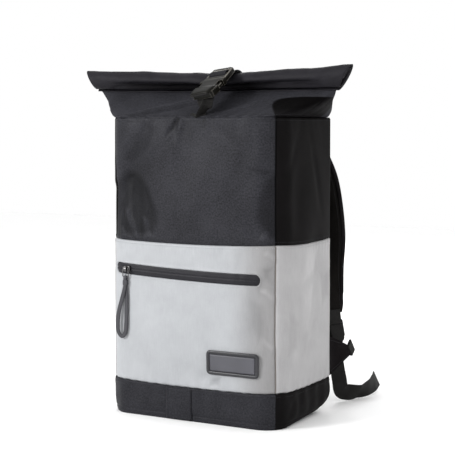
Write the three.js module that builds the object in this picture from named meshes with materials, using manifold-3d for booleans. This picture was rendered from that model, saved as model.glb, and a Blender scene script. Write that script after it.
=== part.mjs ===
// Roll-top laptop backpack standing on its base.
// Millimetres, +Z up, the front with the zip and the badge faces -Y, the origin lies mid-bottom.

import * as THREE from "three";
import { mergeVertices } from "three/addons/utils/BufferGeometryUtils.js";
import Module from "manifold-3d";

const wasm = await Module();
wasm.setup();

// Body and cloth
const GAP = 0.3;
const BODY = {
  width: 290,
  front: -81.5,
  sideBack: 81.5,
  collarBack: 86,
  bootBack: 88,
  corner: 38,
  backCorner: 20,
  bootCorner: 9,
};
const LEVEL = { boot: 52, band: 258, seam: 435 };
const CLOTH = { panel: 2.2, boot: 2.6, collar: 3.5, rolled: 1.8, webbing: 1.4 };
const SWELL = { front: 3, side: 5 };
const SEAM_SAG = { front: 3.5, side: 2 };

// Where the front's flat ends, the corner's seam runs and the side ends, along the outline
const FLAT_END = BODY.width / 2 - BODY.corner;
const CORNER_LENGTH = (Math.PI / 2) * BODY.corner;
const SEAM_AT = FLAT_END + CORNER_LENGTH / 2;
const SIDE_END = FLAT_END + CORNER_LENGTH + BODY.sideBack - BODY.front - BODY.corner;

// Dents of the body's cloth (a negative depth stands out).
// across: along the outline from the front's middle, up: height, lean: degrees from upright.
const FOLDS = [
  { across: -96, up: 345, wide: 26, tall: 40, lean: 12, depth: 5 },
  { across: -40, up: 395, wide: 30, tall: 42, lean: -20, depth: -3 },
  { across: 30, up: 330, wide: 46, tall: 52, lean: 0, depth: -3 },
  { across: 116, up: 288, wide: 15, tall: 26, lean: 8, depth: 4 },
  { across: 112, up: 165, wide: 17, tall: 58, lean: -4, depth: 4.2 },
  { across: -60, up: 130, wide: 40, tall: 44, lean: 0, depth: -3 },
  { across: -8, up: 68, wide: 22, tall: 16, lean: 0, depth: 1.6 },
  { across: 182, up: 320, wide: 20, tall: 70, lean: 5, depth: 4 },
  { across: 236, up: 232, wide: 22, tall: 34, lean: 0, depth: 4 },
  { across: 190, up: 130, wide: 18, tall: 48, lean: 0, depth: 3 },
  { across: -200, up: 310, wide: 26, tall: 70, lean: -5, depth: 4 },
  { across: -215, up: 150, wide: 24, tall: 50, lean: 0, depth: 3.5 },
];

// Columns of facets along the outline: each run ends at a place and is split into equal steps
const FRONT_RUNS = [
  { to: -SEAM_AT, steps: 0 },
  { to: -FLAT_END, steps: 4 },
  { to: 80, steps: 14 },
  { to: FLAT_END, steps: 4 },
  { to: SEAM_AT, steps: 4 },
];
const SIDE_RUNS = [
  { to: SEAM_AT, steps: 0 },
  { to: FLAT_END + CORNER_LENGTH, steps: 4 },
  { to: SIDE_END, steps: 7 },
];

// Cloth panels between the boot and the collar seam; side 0 is the front
const PANELS = [
  { name: "pocket_front_panel", side: 0, low: "boot", high: "band", rows: 7 },
  { name: "grey_side_panel_left", side: -1, low: "boot", high: "band", rows: 6 },
  { name: "grey_side_panel_right", side: 1, low: "boot", high: "band", rows: 6 },
  { name: "upper_front_panel", side: 0, low: "band", high: "seam", rows: 7 },
  { name: "upper_side_panel_left", side: -1, low: "band", high: "seam", rows: 7 },
  { name: "upper_side_panel_right", side: 1, low: "band", high: "seam", rows: 7 },
];
const BACK = { halfWidth: 142.6, edge: 4, pad: 8, columns: 11, rows: 11 };

// Boot: its outer and inner profile from the middle of the floor to the rim and back.
// wall: distance inside the outline, round: further inset where the lower edge is fully rounded.
const BOOT_LOOP = { arc: 5, front: 5, side: 3, back: 5, leastRadius: 5, rimGap: 0.4 };
const BOOT_OUTER = [
  { wall: 0, round: 44, up: 0 },
  { wall: 0, round: 26, up: 0 },
  { wall: 0, round: 15, up: 2.2 },
  { wall: 0, round: 6.5, up: 8 },
  { wall: 0, round: 1.6, up: 17 },
  { wall: 0, round: 0, up: 28 },
  { wall: 0, round: 0, up: LEVEL.boot },
];
const BOOT_INNER = [
  { wall: CLOTH.boot, round: 0, up: LEVEL.boot },
  { wall: CLOTH.boot, round: 0, up: 28 },
  { wall: CLOTH.boot, round: 6.4, up: 11 },
  { wall: CLOTH.boot, round: 25, up: 4 },
  { wall: CLOTH.boot, round: 41, up: 4 },
];
// The lower edge is tight at the front and rounds more towards the back, where it also lifts
const BOOT_ROUND = { front: 0.1, from: -80, full: 75 };
const BACK_LIFT = { from: 44, full: 88, rise: 8 };
const LIGHT_TAB = { left: -39, right: 5, columns: 4, thick: 1.6, top: 50 };

// Pocket zip, its slider and the pull
const ZIP = {
  left: -130,
  right: 113,
  up: 208.5,
  rise: 7,
  halfTall: 8,
  margin: 5,
  tape: 1.2,
  behind: 0.6,
  rows: 2,
  rounding: [0.02, 0.15, 0.45, 1],
};
const SLIDER = {
  across: -106,
  length: 12,
  tall: 8.5,
  nose: 0.6,
  bevel: 0.6,
  front: 2.4,
  archOut: 4.4,
  archIn: 2.7,
  archLength: 4.5,
  archSunk: 0.4,
  archSteps: 8,
};
const RING = { halfWidth: 4.8, halfTall: 6, wire: 0.8, sides: 6, steps: 16, square: 0.35 };
const EYELET = { inner: 1.25, outer: 2.5, width: 5.6, steps: 12 };
const PULL = { thick: 2.6, bevel: 0.5, perRow: 2 };
// Half of the leather loop's outline and of its opening: down from the ring, middle, half width
const PULL_OUTLINE = [
  { down: 0, middle: 0, half: 3.1 },
  { down: 12, middle: -0.2, half: 3.1 },
  { down: 32, middle: -3.5, half: 7.4 },
  { down: 51, middle: -5.1, half: 9.9 },
  { down: 70, middle: -6.7, half: 10.6 },
  { down: 84, middle: -7.2, half: 8 },
  { down: 90.5, middle: -6, half: 2 },
];
const PULL_OPENING = [
  { down: 36, middle: -4.2, half: 0.6 },
  { down: 53, middle: -5.5, half: 2.9 },
  { down: 70, middle: -6.3, half: 3.7 },
  { down: 80, middle: -6.8, half: 3 },
  { down: 84.5, middle: -7, half: 0.8 },
];
const KEEPER = { down: 8, tall: 7, wall: 1.1, aside: -0.1 };

// Rubber badge: rings of its profile from the back face to the plate in the middle
const BADGE = { across: 71.8, up: 89.2, width: 83, tall: 34.5, radius: 6, arc: 3, longRun: 6, shortRun: 2 };
const BADGE_PROFILE = [
  { inset: 16, out: 0.7 },
  { inset: 0, out: 0.7 },
  { inset: 0, out: 2 },
  { inset: 0.9, out: 2.8 },
  { inset: 2.7, out: 2.8 },
  { inset: 3.6, out: 1.9 },
  { inset: 16, out: 1.9 },
];

// Collar: the neck rises from the seam to the ridge where the roll starts
const NECK = {
  half: 24,
  rows: 4,
  sag: 4,
  bulge: 8,
  bulgeFrom: 0.35,
  bulgeFull: 0.65,
  gather: 1.85,
  reach: 0.97,
  hollowTop: 3.2,
  hollowLength: 0.94,
};
const NECK_FOLDS = [
  { along: -0.52, rise: 0.45, wide: 0.2, tall: 0.3, depth: 5 },
  { along: -0.12, rise: 0.5, wide: 0.14, tall: 0.35, depth: -4 },
  { along: 0.4, rise: 0.5, wide: 0.12, tall: 0.3, depth: 4 },
];
// The roll's section at its middle and its ends: axis, half depth and half height
const ROLL = {
  bottomHalf: 203,
  topHalf: 224,
  start: -75,
  turns: 1.75,
  lap: 0.03,
  pitch: 0.25,
  perTurn: 12,
  stations: 11,
};
const ROLL_SECTION = [
  { along: -1, y: -16, z: 493, halfDeep: 10.5, halfTall: 17.4 },
  { along: -0.6, y: -14, z: 490.2, halfDeep: 14, halfTall: 16.6 },
  { along: -0.2, y: -8, z: 488.2, halfDeep: 17, halfTall: 15.1 },
  { along: 0.1, y: -6.5, z: 486.2, halfDeep: 16, halfTall: 14.2 },
  { along: 0.35, y: -10, z: 488, halfDeep: 16.5, halfTall: 15.4 },
  { along: 0.7, y: -14, z: 488.9, halfDeep: 13.5, halfTall: 17.3 },
  { along: 1, y: -16, z: 490.2, halfDeep: 10.5, halfTall: 18.6 },
];

// Side-release buckle: its middle, its long axis towards the roll's top and its width's direction
const BUCKLE = { width: 41, length: 70, mouth: 4, thick: 10, bevel: 0.9, through: 5 };
const BUCKLE_PLACE = {
  middle: [21.7, -49.1, 483.9],
  along: [0.053, 0.832, 0.553],
  across: [0.985, -0.14, 0.1],
};
const SOCKET = {
  endHalf: 18.5,
  endRound: 3,
  wall: 2,
  floor: -23,
  slotLow: -30.5,
  slotHigh: -26,
  slotHalf: 15.5,
  windowLow: -17,
  windowHigh: -4,
  windowDeep: 6,
};
const PLUG = {
  half: 19.5,
  endHalf: 17,
  endRound: 2,
  thick: 8,
  bevel: 0.8,
  armIn: 8.5,
  armOut: 15,
  armNose: 12,
  tip: -20,
  tabOut: 19.6,
  tabLow: -15.5,
  tabHigh: -7,
  tabEnd: -3,
  guide: 3,
  tongueThick: 4.6,
  root: 2,
};
const PLUG_SLOTS = [
  { low: 12, high: 17 },
  { low: 23.5, high: 28.5 },
];
const TOP_STRAP = { width: 30, thick: 1.5, anchorX: 4, anchorDrop: 6, seamDrop: 1, lift: 0.2 };
// How the front strap turns around the socket's end bar, along the buckle from the slot or the end
const BAR_TURN = { below: 9, hang: 2, legIn: 1, bend: 0.6, round: 1, tail: 7, tailDrop: 1.8 };
// How the back strap threads the plug's bars
const BAR_THREAD = { start: 2, before: 2, after: 2.6, leave: 3 };
// The back strap over the roll and down the neck: point and lean of its width
const OVER_ROLL = [
  { x: 24, y: -5, z: 502.5, lean: 0.05 },
  { x: 23.5, y: 6, z: 499.5, lean: 0.03 },
  { x: 22, y: 34, z: 480, lean: 0 },
  { x: 21, y: 70, z: 454.5, lean: 0 },
  { x: 20.5, y: 89, z: 440.5, lean: 0 },
];
const BACK_ANCHOR = { x: 20.5, high: 428, low: 414 };

// Shoulder strap, right one: its middle line, width, thickness and turn about the vertical
const STRAP_ROWS = [
  { x: 70, y: 96.2, z: 424, width: 52, thick: 7, turn: 0 },
  { x: 76, y: 119, z: 402, width: 58, thick: 11, turn: 0 },
  { x: 85, y: 141, z: 372, width: 62, thick: 12, turn: 0 },
  { x: 90, y: 156, z: 342, width: 63, thick: 12, turn: 0 },
  { x: 96, y: 161, z: 296, width: 64, thick: 12, turn: 0 },
  { x: 101, y: 157, z: 248, width: 64, thick: 12, turn: 4 },
  { x: 104, y: 146, z: 200, width: 60, thick: 12, turn: 16 },
  { x: 114, y: 136, z: 167, width: 52, thick: 10, turn: 40 },
  { x: 125.4, y: 128.4, z: 149, width: 40, thick: 7, turn: 60 },
  { x: 128.4, y: 126.6, z: 137, width: 33, thick: 4.5, turn: 66 },
];
const STRAP = { stations: 22, around: 10, flatWide: 0.5, flatThick: 0.7 };
const LOCK = {
  at: [133, 124.2, 116.5],
  turn: 66,
  lean: -15,
  width: 33,
  tall: 28,
  thick: 4.5,
  slotHalf: 13.4,
  bevel: 0.6,
  trim: 2.5,
};
const LOCK_SLOTS = [
  { low: 3, high: 10 },
  { low: -9, high: -2 },
];
const WEBBING_WIDTH = 25;

// Triangular tab: corners behind the side panel's edge, and the folded webbing end at its tip
const TAB = { inner: 143.2, thick: 2.4, loopWidth: 23, loopLength: 14, loopDown: 5 };
// Half of that fold: distance out of the tip's edge, and distance from its middle in fold radii
const TAB_FOLD = [
  { far: 0.4, aside: 1 },
  { far: TAB.loopLength - 1.6, aside: 1.2 },
  { far: TAB.loopLength - 0.3, aside: 0.8 },
  { far: TAB.loopLength, aside: 0 },
];
const TAB_CORNERS = [
  { y: 81.9, z: 53 },
  { y: 157, z: 73 },
  { y: 141, z: 91.5 },
  { y: 81.9, z: 112 },
];

// Webbing from the side tab to the lock's outer side: point and width's direction
const LOAD_ROWS = [
  { at: [141.8, 110.5, 71], across: [0, 0.94, -0.33] },
  { at: [141.6, 115, 84], across: [0, 0.94, -0.33] },
  { at: [139.4, 118.6, 94.5], across: [0.03, 0.94, -0.28] },
];
// Webbing from the lock's inner side to the free end on the floor
const TAIL_ROWS = [
  { at: [132.2, 126, 86], across: [0.42, 0.9, 0] },
  { at: [132.5, 132.5, 62], across: [0.5, 0.86, 0.05] },
  { at: [132.8, 141, 36], across: [0.6, 0.78, 0.15] },
  { at: [133.5, 149, 17.5], across: [0.6, 0.55, 0.6] },
  { at: [139.5, 161, 13.4], across: [0.1, 0.06, 0.99] },
  { at: [149, 182, 13.4], across: [0, 0, 1] },
  { at: [155, 206, 13.6], across: [-0.1, 0.1, 1] },
  { at: [153, 230, 16.4], across: [-0.3, 0.1, 0.95] },
  { at: [147, 252, 20.6], across: [-0.4, 0.1, 0.9] },
];

const FINISH = {
  dark_cloth: new THREE.MeshStandardMaterial({ color: 0x2c2c31, roughness: 0.7, metalness: 0 }),
  grey_cloth: new THREE.MeshStandardMaterial({ color: 0xc6c9ca, roughness: 0.65, metalness: 0 }),
  padded_cloth: new THREE.MeshStandardMaterial({ color: 0x1b1b1d, roughness: 0.85, metalness: 0 }),
  webbing: new THREE.MeshStandardMaterial({ color: 0x17171a, roughness: 0.8, metalness: 0 }),
  zip_tape: new THREE.MeshStandardMaterial({ color: 0x333338, roughness: 0.45, metalness: 0 }),
  zip_metal: new THREE.MeshStandardMaterial({ color: 0x5a5a5c, roughness: 0.3, metalness: 1 }),
  leather: new THREE.MeshStandardMaterial({ color: 0x3a3a3d, roughness: 0.6, metalness: 0 }),
  rubber: new THREE.MeshStandardMaterial({ color: 0x3f4042, roughness: 0.6, metalness: 0 }),
  buckle_plastic: new THREE.MeshStandardMaterial({ color: 0x1f1e1a, roughness: 0.4, metalness: 0 }),
};

const part = new THREE.Group();

function addPiece(name, geometry, finish) {
  const mesh = new THREE.Mesh(geometry, FINISH[finish]);
  mesh.name = name;
  part.add(mesh);
}

const clampShare = (value) => Math.min(Math.max(value, 0), 1);
const mix = THREE.MathUtils.lerp;
const bell = (value) => Math.exp(-value * value);
const vector = (values) => new THREE.Vector3(...values);

// Value of a table's column at a key, smooth between the rows
function readTable(rows, keyColumn, column, key) {
  const last = rows.length - 1;
  let row = 0;
  while (row < last - 1 && key > rows[row + 1][keyColumn]) {
    row += 1;
  }
  const from = rows[row];
  const to = rows[row + 1];
  const share = clampShare((key - from[keyColumn]) / (to[keyColumn] - from[keyColumn]));
  return mix(from[column], to[column], THREE.MathUtils.smoothstep(share, 0, 1));
}

// Closed geometry from points and triangles, facing out
function closedGeometry(points, faces) {
  let volume = 0;
  for (let k = 0; k < faces.length; k += 3) {
    const [a, b, c] = [points[faces[k]], points[faces[k + 1]], points[faces[k + 2]]];
    volume += a.dot(new THREE.Vector3().crossVectors(b, c));
  }
  const outward = volume < 0 ? faces.toReversed() : faces;
  const geometry = new THREE.BufferGeometry().setFromPoints(points);
  geometry.setIndex(outward);
  return mergeVertices(geometry, 1e-4);
}

const addQuad = (faces, a, b, c, d) => faces.push(a, b, c, a, c, d);

// A cloth with thickness: an outer and an inner grid joined along their edges
function sheetSolid(outer, inner, columns, rows) {
  const points = [];
  for (const side of [outer, inner]) {
    for (let j = 0; j <= rows; j += 1) {
      for (let i = 0; i <= columns; i += 1) {
        points.push(side(i / columns, j / rows));
      }
    }
  }
  const layer = (columns + 1) * (rows + 1);
  const out = (i, j) => j * (columns + 1) + i;
  const back = (i, j) => layer + out(i, j);
  const faces = [];
  for (let j = 0; j < rows; j += 1) {
    for (let i = 0; i < columns; i += 1) {
      addQuad(faces, out(i, j), out(i + 1, j), out(i + 1, j + 1), out(i, j + 1));
      addQuad(faces, back(i, j), back(i, j + 1), back(i + 1, j + 1), back(i + 1, j));
    }
  }
  for (let i = 0; i < columns; i += 1) {
    addQuad(faces, out(i + 1, 0), out(i, 0), back(i, 0), back(i + 1, 0));
    addQuad(faces, out(i, rows), out(i + 1, rows), back(i + 1, rows), back(i, rows));
  }
  for (let j = 0; j < rows; j += 1) {
    addQuad(faces, out(0, j), out(0, j + 1), back(0, j + 1), back(0, j));
    addQuad(faces, out(columns, j + 1), out(columns, j), back(columns, j), back(columns, j + 1));
  }
  return closedGeometry(points, faces);
}

// A skin through rings of points; it is capped at both ends, left open, or closed end to end
function ringSolid(rings, ends) {
  const around = rings[0].length;
  const points = rings.flat();
  const faces = [];
  const at = (k, i) => (k % rings.length) * around + (i % around);
  const spans = ends === "joined" ? rings.length : rings.length - 1;
  for (let k = 0; k < spans; k += 1) {
    for (let i = 0; i < around; i += 1) {
      addQuad(faces, at(k, i), at(k, i + 1), at(k + 1, i + 1), at(k + 1, i));
    }
  }
  if (ends === "capped") {
    for (const [k, turn] of [[0, 1], [rings.length - 1, 0]]) {
      const middle = rings[k].reduce((sum, p) => sum.add(p), new THREE.Vector3()).divideScalar(around);
      points.push(middle);
      for (let i = 0; i < around; i += 1) {
        faces.push(points.length - 1, at(k, i + turn), at(k, i + 1 - turn));
      }
    }
  }
  return closedGeometry(points, faces);
}

function toSolid(geometry) {
  const bare = geometry.clone();
  bare.deleteAttribute("normal");
  bare.deleteAttribute("uv");
  const merged = mergeVertices(bare, 1e-4);
  const vertProperties = new Float32Array(merged.attributes.position.array);
  const triVerts = new Uint32Array(merged.index.array);
  return new wasm.Manifold(new wasm.Mesh({ numProp: 3, vertProperties, triVerts }));
}

function fromSolid(solid) {
  const mesh = solid.getMesh();
  const geometry = new THREE.BufferGeometry();
  geometry.setAttribute("position", new THREE.BufferAttribute(mesh.vertProperties, 3));
  geometry.setIndex(new THREE.BufferAttribute(mesh.triVerts, 1));
  return geometry;
}

function joined(first, ...others) {
  return fromSolid(others.reduce((solid, next) => solid.add(toSolid(next)), toSolid(first)));
}

function cut(from, ...tools) {
  return fromSolid(tools.reduce((solid, tool) => solid.subtract(toSolid(tool)), toSolid(from)));
}

const mirrored = (geometry) => {
  const copy = geometry.clone().scale(-1, 1, 1);
  copy.setIndex(Array.from(copy.index.array).toReversed());
  return copy;
};

// Flat shape from corner rows [x, y], extruded and centred on its thickness
function plate(corners, thick, bevel, holes = []) {
  const shape = new THREE.Shape(corners.map(([x, y]) => new THREE.Vector2(x, y)));
  shape.holes = holes.map((hole) => new THREE.Path(hole.map(([x, y]) => new THREE.Vector2(x, y))));
  const geometry = new THREE.ExtrudeGeometry(shape, {
    depth: thick - 2 * bevel,
    bevelEnabled: bevel > 0,
    bevelThickness: bevel,
    bevelSize: bevel,
    bevelOffset: -bevel,
    bevelSegments: 1,
    steps: 1,
  });
  return geometry.translate(0, 0, bevel - thick / 2);
}

const box = (x0, x1, y0, y1) => [[x0, y0], [x1, y0], [x1, y1], [x0, y1]];

// Outline of the body above the boot: point and outward direction at a distance along it
function outlineAt(across) {
  const side = Math.sign(across) || 1;
  const reach = Math.abs(across);
  const angle = clampShare((reach - FLAT_END) / CORNER_LENGTH) * (Math.PI / 2);
  const straight = Math.max(reach - FLAT_END - CORNER_LENGTH, 0);
  const x = Math.min(reach, FLAT_END) + BODY.corner * Math.sin(angle);
  const y = BODY.front + BODY.corner * (1 - Math.cos(angle)) + straight;
  return { x: side * x, y, outX: side * Math.sin(angle), outY: -Math.cos(angle) };
}

// How far the filled cloth stands out of the plain outline
function relief(across, up) {
  const reach = Math.abs(across);
  const rise = Math.sin(Math.PI * clampShare((up - LEVEL.boot) / (LEVEL.seam - LEVEL.boot)));
  const frontSwell = SWELL.front * Math.cos((Math.PI / 2) * clampShare(reach / SEAM_AT));
  const sideSwell = SWELL.side * Math.sin(Math.PI * clampShare((reach - SEAM_AT) / (SIDE_END - SEAM_AT)));
  let height = rise * (frontSwell + sideSwell);
  for (const fold of FOLDS) {
    const lean = THREE.MathUtils.degToRad(fold.lean);
    const aside = across - fold.across;
    const above = up - fold.up;
    const wide = (aside * Math.cos(lean) - above * Math.sin(lean)) / fold.wide;
    const tall = (aside * Math.sin(lean) + above * Math.cos(lean)) / fold.tall;
    height -= fold.depth * bell(wide) * bell(tall);
  }
  return height;
}

// A point on the body's cloth; depth goes into the bag
function skin(across, up, depth = 0) {
  const at = outlineAt(across);
  const out = relief(across, up) - depth;
  return new THREE.Vector3(at.x + at.outX * out, at.y + at.outY * out, up);
}

// Seams hang a little in the middle of the front and of the sides
function seamSag(x, y) {
  const frontShare = clampShare((BODY.front / 2 - y) / (-BODY.front / 2));
  const frontSag = SEAM_SAG.front * (1 - (2 * x / BODY.width) ** 2);
  const sideSag = SEAM_SAG.side * Math.max(1 - (y / BODY.sideBack) ** 2, 0);
  return mix(sideSag, frontSag, frontShare);
}

function seamHeight(level, across) {
  const at = outlineAt(across);
  const sagging = level === "seam" ? 0 : seamSag(at.x, at.y);
  return LEVEL[level] - sagging;
}

// Places along the outline at the ends of equal steps in each run
function columnsOf(runs) {
  return runs.flatMap((run, k) => Array.from({ length: run.steps }, (_, i) => (
    mix(runs[k - 1].to, run.to, (i + 1) / run.steps)
  )).concat(run.steps === 0 ? [run.to] : []));
}

function panelSolid(panel) {
  const places = columnsOf(panel.side === 0 ? FRONT_RUNS : SIDE_RUNS);
  const last = places.length - 1;
  places[0] += GAP / 2;
  places[last] -= GAP / 2;
  const at = (u, v, depth) => {
    const across = places[Math.round(u * last)] * (panel.side || 1);
    const low = seamHeight(panel.low, across) + GAP / 2;
    const high = seamHeight(panel.high, across) - GAP / 2;
    return skin(across, mix(low, high, v), depth);
  };
  return sheetSolid((u, v) => at(u, v, 0), (u, v) => at(u, v, CLOTH.panel), last, panel.rows);
}

// The padded back's outer face: thick in the middle, thin along its edges
function backSkin(x, z) {
  const middle = (LEVEL.boot + LEVEL.seam) / 2;
  const wide = 1 - Math.abs(x / BACK.halfWidth) ** 6;
  const tall = 1 - Math.abs((2 * (z - middle)) / (LEVEL.seam - LEVEL.boot)) ** 10;
  const full = Math.sqrt(Math.max(wide, 0) * Math.max(tall, 0));
  return BODY.sideBack + GAP + BACK.edge + BACK.pad * full;
}

function backPanel() {
  const spread = (share) => Math.sin((share - 0.5) * Math.PI);
  const at = (u, v) => {
    const x = BACK.halfWidth * spread(u);
    const half = (LEVEL.seam - LEVEL.boot) / 2 - GAP;
    return { x, z: (LEVEL.boot + LEVEL.seam) / 2 + half * spread(v) };
  };
  const outer = (u, v) => new THREE.Vector3(at(u, v).x, backSkin(at(u, v).x, at(u, v).z), at(u, v).z);
  const inner = (u, v) => new THREE.Vector3(at(u, v).x, BODY.sideBack + GAP, at(u, v).z);
  return sheetSolid(outer, inner, BACK.columns, BACK.rows);
}

// Closed loop through rounded corners, from the lower right one on; run splits the straight after it
function roundedLoop(corners, arc) {
  const arcs = corners.map((corner, quarter) => Array.from({ length: arc + 1 }, (_, k) => {
    const angle = (Math.PI / 2) * (quarter - 1 + k / arc);
    const x = corner.x + corner.radius * Math.cos(angle);
    return new THREE.Vector2(x, corner.y + corner.radius * Math.sin(angle));
  }));
  return arcs.flatMap((points, quarter) => {
    const from = points[points.length - 1];
    const to = arcs[(quarter + 1) % arcs.length][0];
    const { run } = corners[quarter];
    const between = Array.from({ length: run - 1 }, (_, k) => from.clone().lerp(to, (k + 1) / run));
    return [...points, ...between];
  });
}

// Share of the boot's rounding at a depth of the bag
function bootRound(y) {
  return mix(BOOT_ROUND.front, 1, clampShare((y - BOOT_ROUND.from) / (BOOT_ROUND.full - BOOT_ROUND.from)));
}

// The boot's outline at a distance inside it
function bootLoop(inset) {
  const half = BODY.width / 2 - inset;
  const front = BODY.front + inset;
  const back = BODY.bootBack - inset;
  const frontRadius = Math.max(BODY.corner - inset, BOOT_LOOP.leastRadius);
  const backRadius = Math.max(BODY.bootCorner - inset, BOOT_LOOP.leastRadius);
  const corners = [
    { x: half - frontRadius, y: front + frontRadius, radius: frontRadius, run: BOOT_LOOP.side },
    { x: half - backRadius, y: back - backRadius, radius: backRadius, run: BOOT_LOOP.back },
    { x: backRadius - half, y: back - backRadius, radius: backRadius, run: BOOT_LOOP.side },
    { x: frontRadius - half, y: front + frontRadius, radius: frontRadius, run: BOOT_LOOP.front },
  ];
  return roundedLoop(corners, BOOT_LOOP.arc);
}

function baseBoot() {
  const rings = [...BOOT_OUTER, ...BOOT_INNER].map((row) => bootLoop(row.wall).map((wall, i) => {
    const p = wall.clone().lerp(bootLoop(row.wall + row.round)[i], bootRound(wall.y));
    const share = row.up / LEVEL.boot;
    const lifted = clampShare((p.y - BACK_LIFT.from) / (BACK_LIFT.full - BACK_LIFT.from));
    const lift = BACK_LIFT.rise * lifted * lifted * (1 - share);
    const rim = row.up === LEVEL.boot ? seamSag(p.x, p.y) + BOOT_LOOP.rimGap : 0;
    return new THREE.Vector3(p.x, p.y, row.up + lift - rim);
  }));
  return ringSolid(rings, "capped");
}

// Strip on the boot's front: it follows the boot's profile at a small distance
function lightLoopTab() {
  const rows = BOOT_OUTER.slice(2).map((row) => (
    new THREE.Vector2(BODY.front + row.round * BOOT_ROUND.front, row.up)
  ));
  rows[rows.length - 1].y = LIGHT_TAB.top - SEAM_SAG.front;
  const normals = rows.map((row, k) => {
    const before = rows[Math.max(k - 1, 0)];
    const after = rows[Math.min(k + 1, rows.length - 1)];
    const run = after.clone().sub(before).normalize();
    return new THREE.Vector2(-run.y, run.x);
  });
  const at = (u, v, out) => {
    const k = Math.round(v * (rows.length - 1));
    const p = rows[k].clone().addScaledVector(normals[k], out);
    return new THREE.Vector3(mix(LIGHT_TAB.left, LIGHT_TAB.right, u), p.x, p.y);
  };
  const near = GAP * 1.3;
  const far = near + LIGHT_TAB.thick;
  return sheetSolid((u, v) => at(u, v, far), (u, v) => at(u, v, near), LIGHT_TAB.columns, rows.length - 1);
}

// The zip rises towards its left end
function zipHeight(across) {
  const share = (ZIP.right - across) / (ZIP.right - ZIP.left);
  return ZIP.up + ZIP.rise * share * share;
}

// A long rounded slot on the front's skin between two depths; its columns are the panel's own
function slotSolid(grow, front, back) {
  const half = ZIP.halfTall + grow;
  const left = ZIP.left - grow;
  const right = ZIP.right + grow;
  const rounding = ZIP.rounding.map((share) => share * half);
  const inside = columnsOf(FRONT_RUNS).filter((place) => place > left + half + 1 && place < right - half - 1);
  const leftEnd = rounding.map((x) => left + x);
  const rightEnd = rounding.toReversed().map((x) => right - x);
  const places = [...leftEnd, ...inside, ...rightEnd];
  const last = places.length - 1;
  const at = (u, v, depth) => {
    const across = places[Math.round(u * last)];
    const fromEnd = Math.min(across - left, right - across, half);
    const reach = Math.sqrt(half * half - (half - fromEnd) ** 2);
    return skin(across, zipHeight(across) + reach * (2 * v - 1), depth);
  };
  return sheetSolid((u, v) => at(u, v, front), (u, v) => at(u, v, back), last, ZIP.rows);
}

// Places a geometry made as (across, up, out) on the front's skin at the zip's slider
function atSlider(geometry) {
  const { across } = SLIDER;
  const at = outlineAt(across);
  const out = new THREE.Vector3(at.outX, at.outY, 0);
  const rise = new THREE.Vector3(0, 0, 1);
  const along = new THREE.Vector3().crossVectors(rise, out);
  const place = new THREE.Matrix4().makeBasis(along, rise, out).setPosition(skin(across, zipHeight(across)));
  return geometry.applyMatrix4(place);
}

// Half circle band standing out of a plane, as corner rows [up, out]
function archCorners(outer, inner, steps) {
  const row = (radius, k) => {
    const angle = (Math.PI * k) / steps;
    return [radius * Math.cos(angle), radius * Math.sin(angle)];
  };
  const outside = Array.from({ length: steps + 1 }, (_, k) => row(outer, k));
  const inside = Array.from({ length: steps + 1 }, (_, k) => row(inner, steps - k));
  return [...outside, ...inside];
}

function zipSlider() {
  const { front, archOut, archIn, archLength, archSunk, archSteps } = SLIDER;
  const end = SLIDER.length / 2;
  const shoulder = SLIDER.tall / 2;
  const nose = shoulder * SLIDER.nose;
  const corners = [
    [-end, -nose], [0, -shoulder], [end, -shoulder],
    [end, shoulder], [0, shoulder], [-end, nose],
  ];
  const thick = front + CLOTH.panel + ZIP.behind - 1.6 * GAP;
  const body = plate(corners, thick, SLIDER.bevel).translate(0, 0, front - thick / 2);
  const arch = plate(archCorners(archOut, archIn, archSteps), archLength, 0);
  arch.rotateY(Math.PI / 2).rotateX(Math.PI / 2).translate(0, 0, front - archSunk);
  return atSlider(joined(body, arch));
}

// A round wire along a closed curve
function wireLoop(curve, radius, steps, sides) {
  const rings = Array.from({ length: steps }, (_, k) => {
    const centre = curve.getPoint(k / steps);
    const run = curve.getTangent(k / steps).normalize();
    const aside = new THREE.Vector3(0, 0, 1).cross(run).normalize();
    const rise = new THREE.Vector3().crossVectors(run, aside);
    return Array.from({ length: sides }, (_, i) => {
      const angle = (2 * Math.PI * i) / sides;
      return centre.clone()
        .addScaledVector(aside, radius * Math.cos(angle))
        .addScaledVector(rise, radius * Math.sin(angle));
    });
  });
  return ringSolid(rings, "joined");
}

// The ring hangs in the slider's arch, clear of the slider's face
const RING_OUT = SLIDER.front + GAP + RING.wire;

function zipRing() {
  const squared = (value) => Math.sign(value) * Math.abs(value) ** RING.square;
  const corners = Array.from({ length: RING.steps }, (_, k) => {
    const angle = (2 * Math.PI * (k + 0.5)) / RING.steps;
    const x = RING.halfWidth * squared(Math.cos(angle));
    return new THREE.Vector3(x, RING.halfTall * (squared(Math.sin(angle)) - 1), RING_OUT);
  });
  const curve = new THREE.CatmullRomCurve3(corners, true);
  return atSlider(wireLoop(curve, RING.wire, RING.steps, RING.sides));
}

// Outline through rows of half widths: down one side and up the other
function tableOutline(rows) {
  const side = (sign) => {
    const points = rows.map((row) => new THREE.Vector2(row.middle + sign * row.half, -row.down));
    const smooth = new THREE.SplineCurve(points).getPoints(PULL.perRow * (points.length - 1));
    return smooth.map((p) => [p.x, p.y]);
  };
  return [...side(-1), ...side(1).toReversed()];
}

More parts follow.
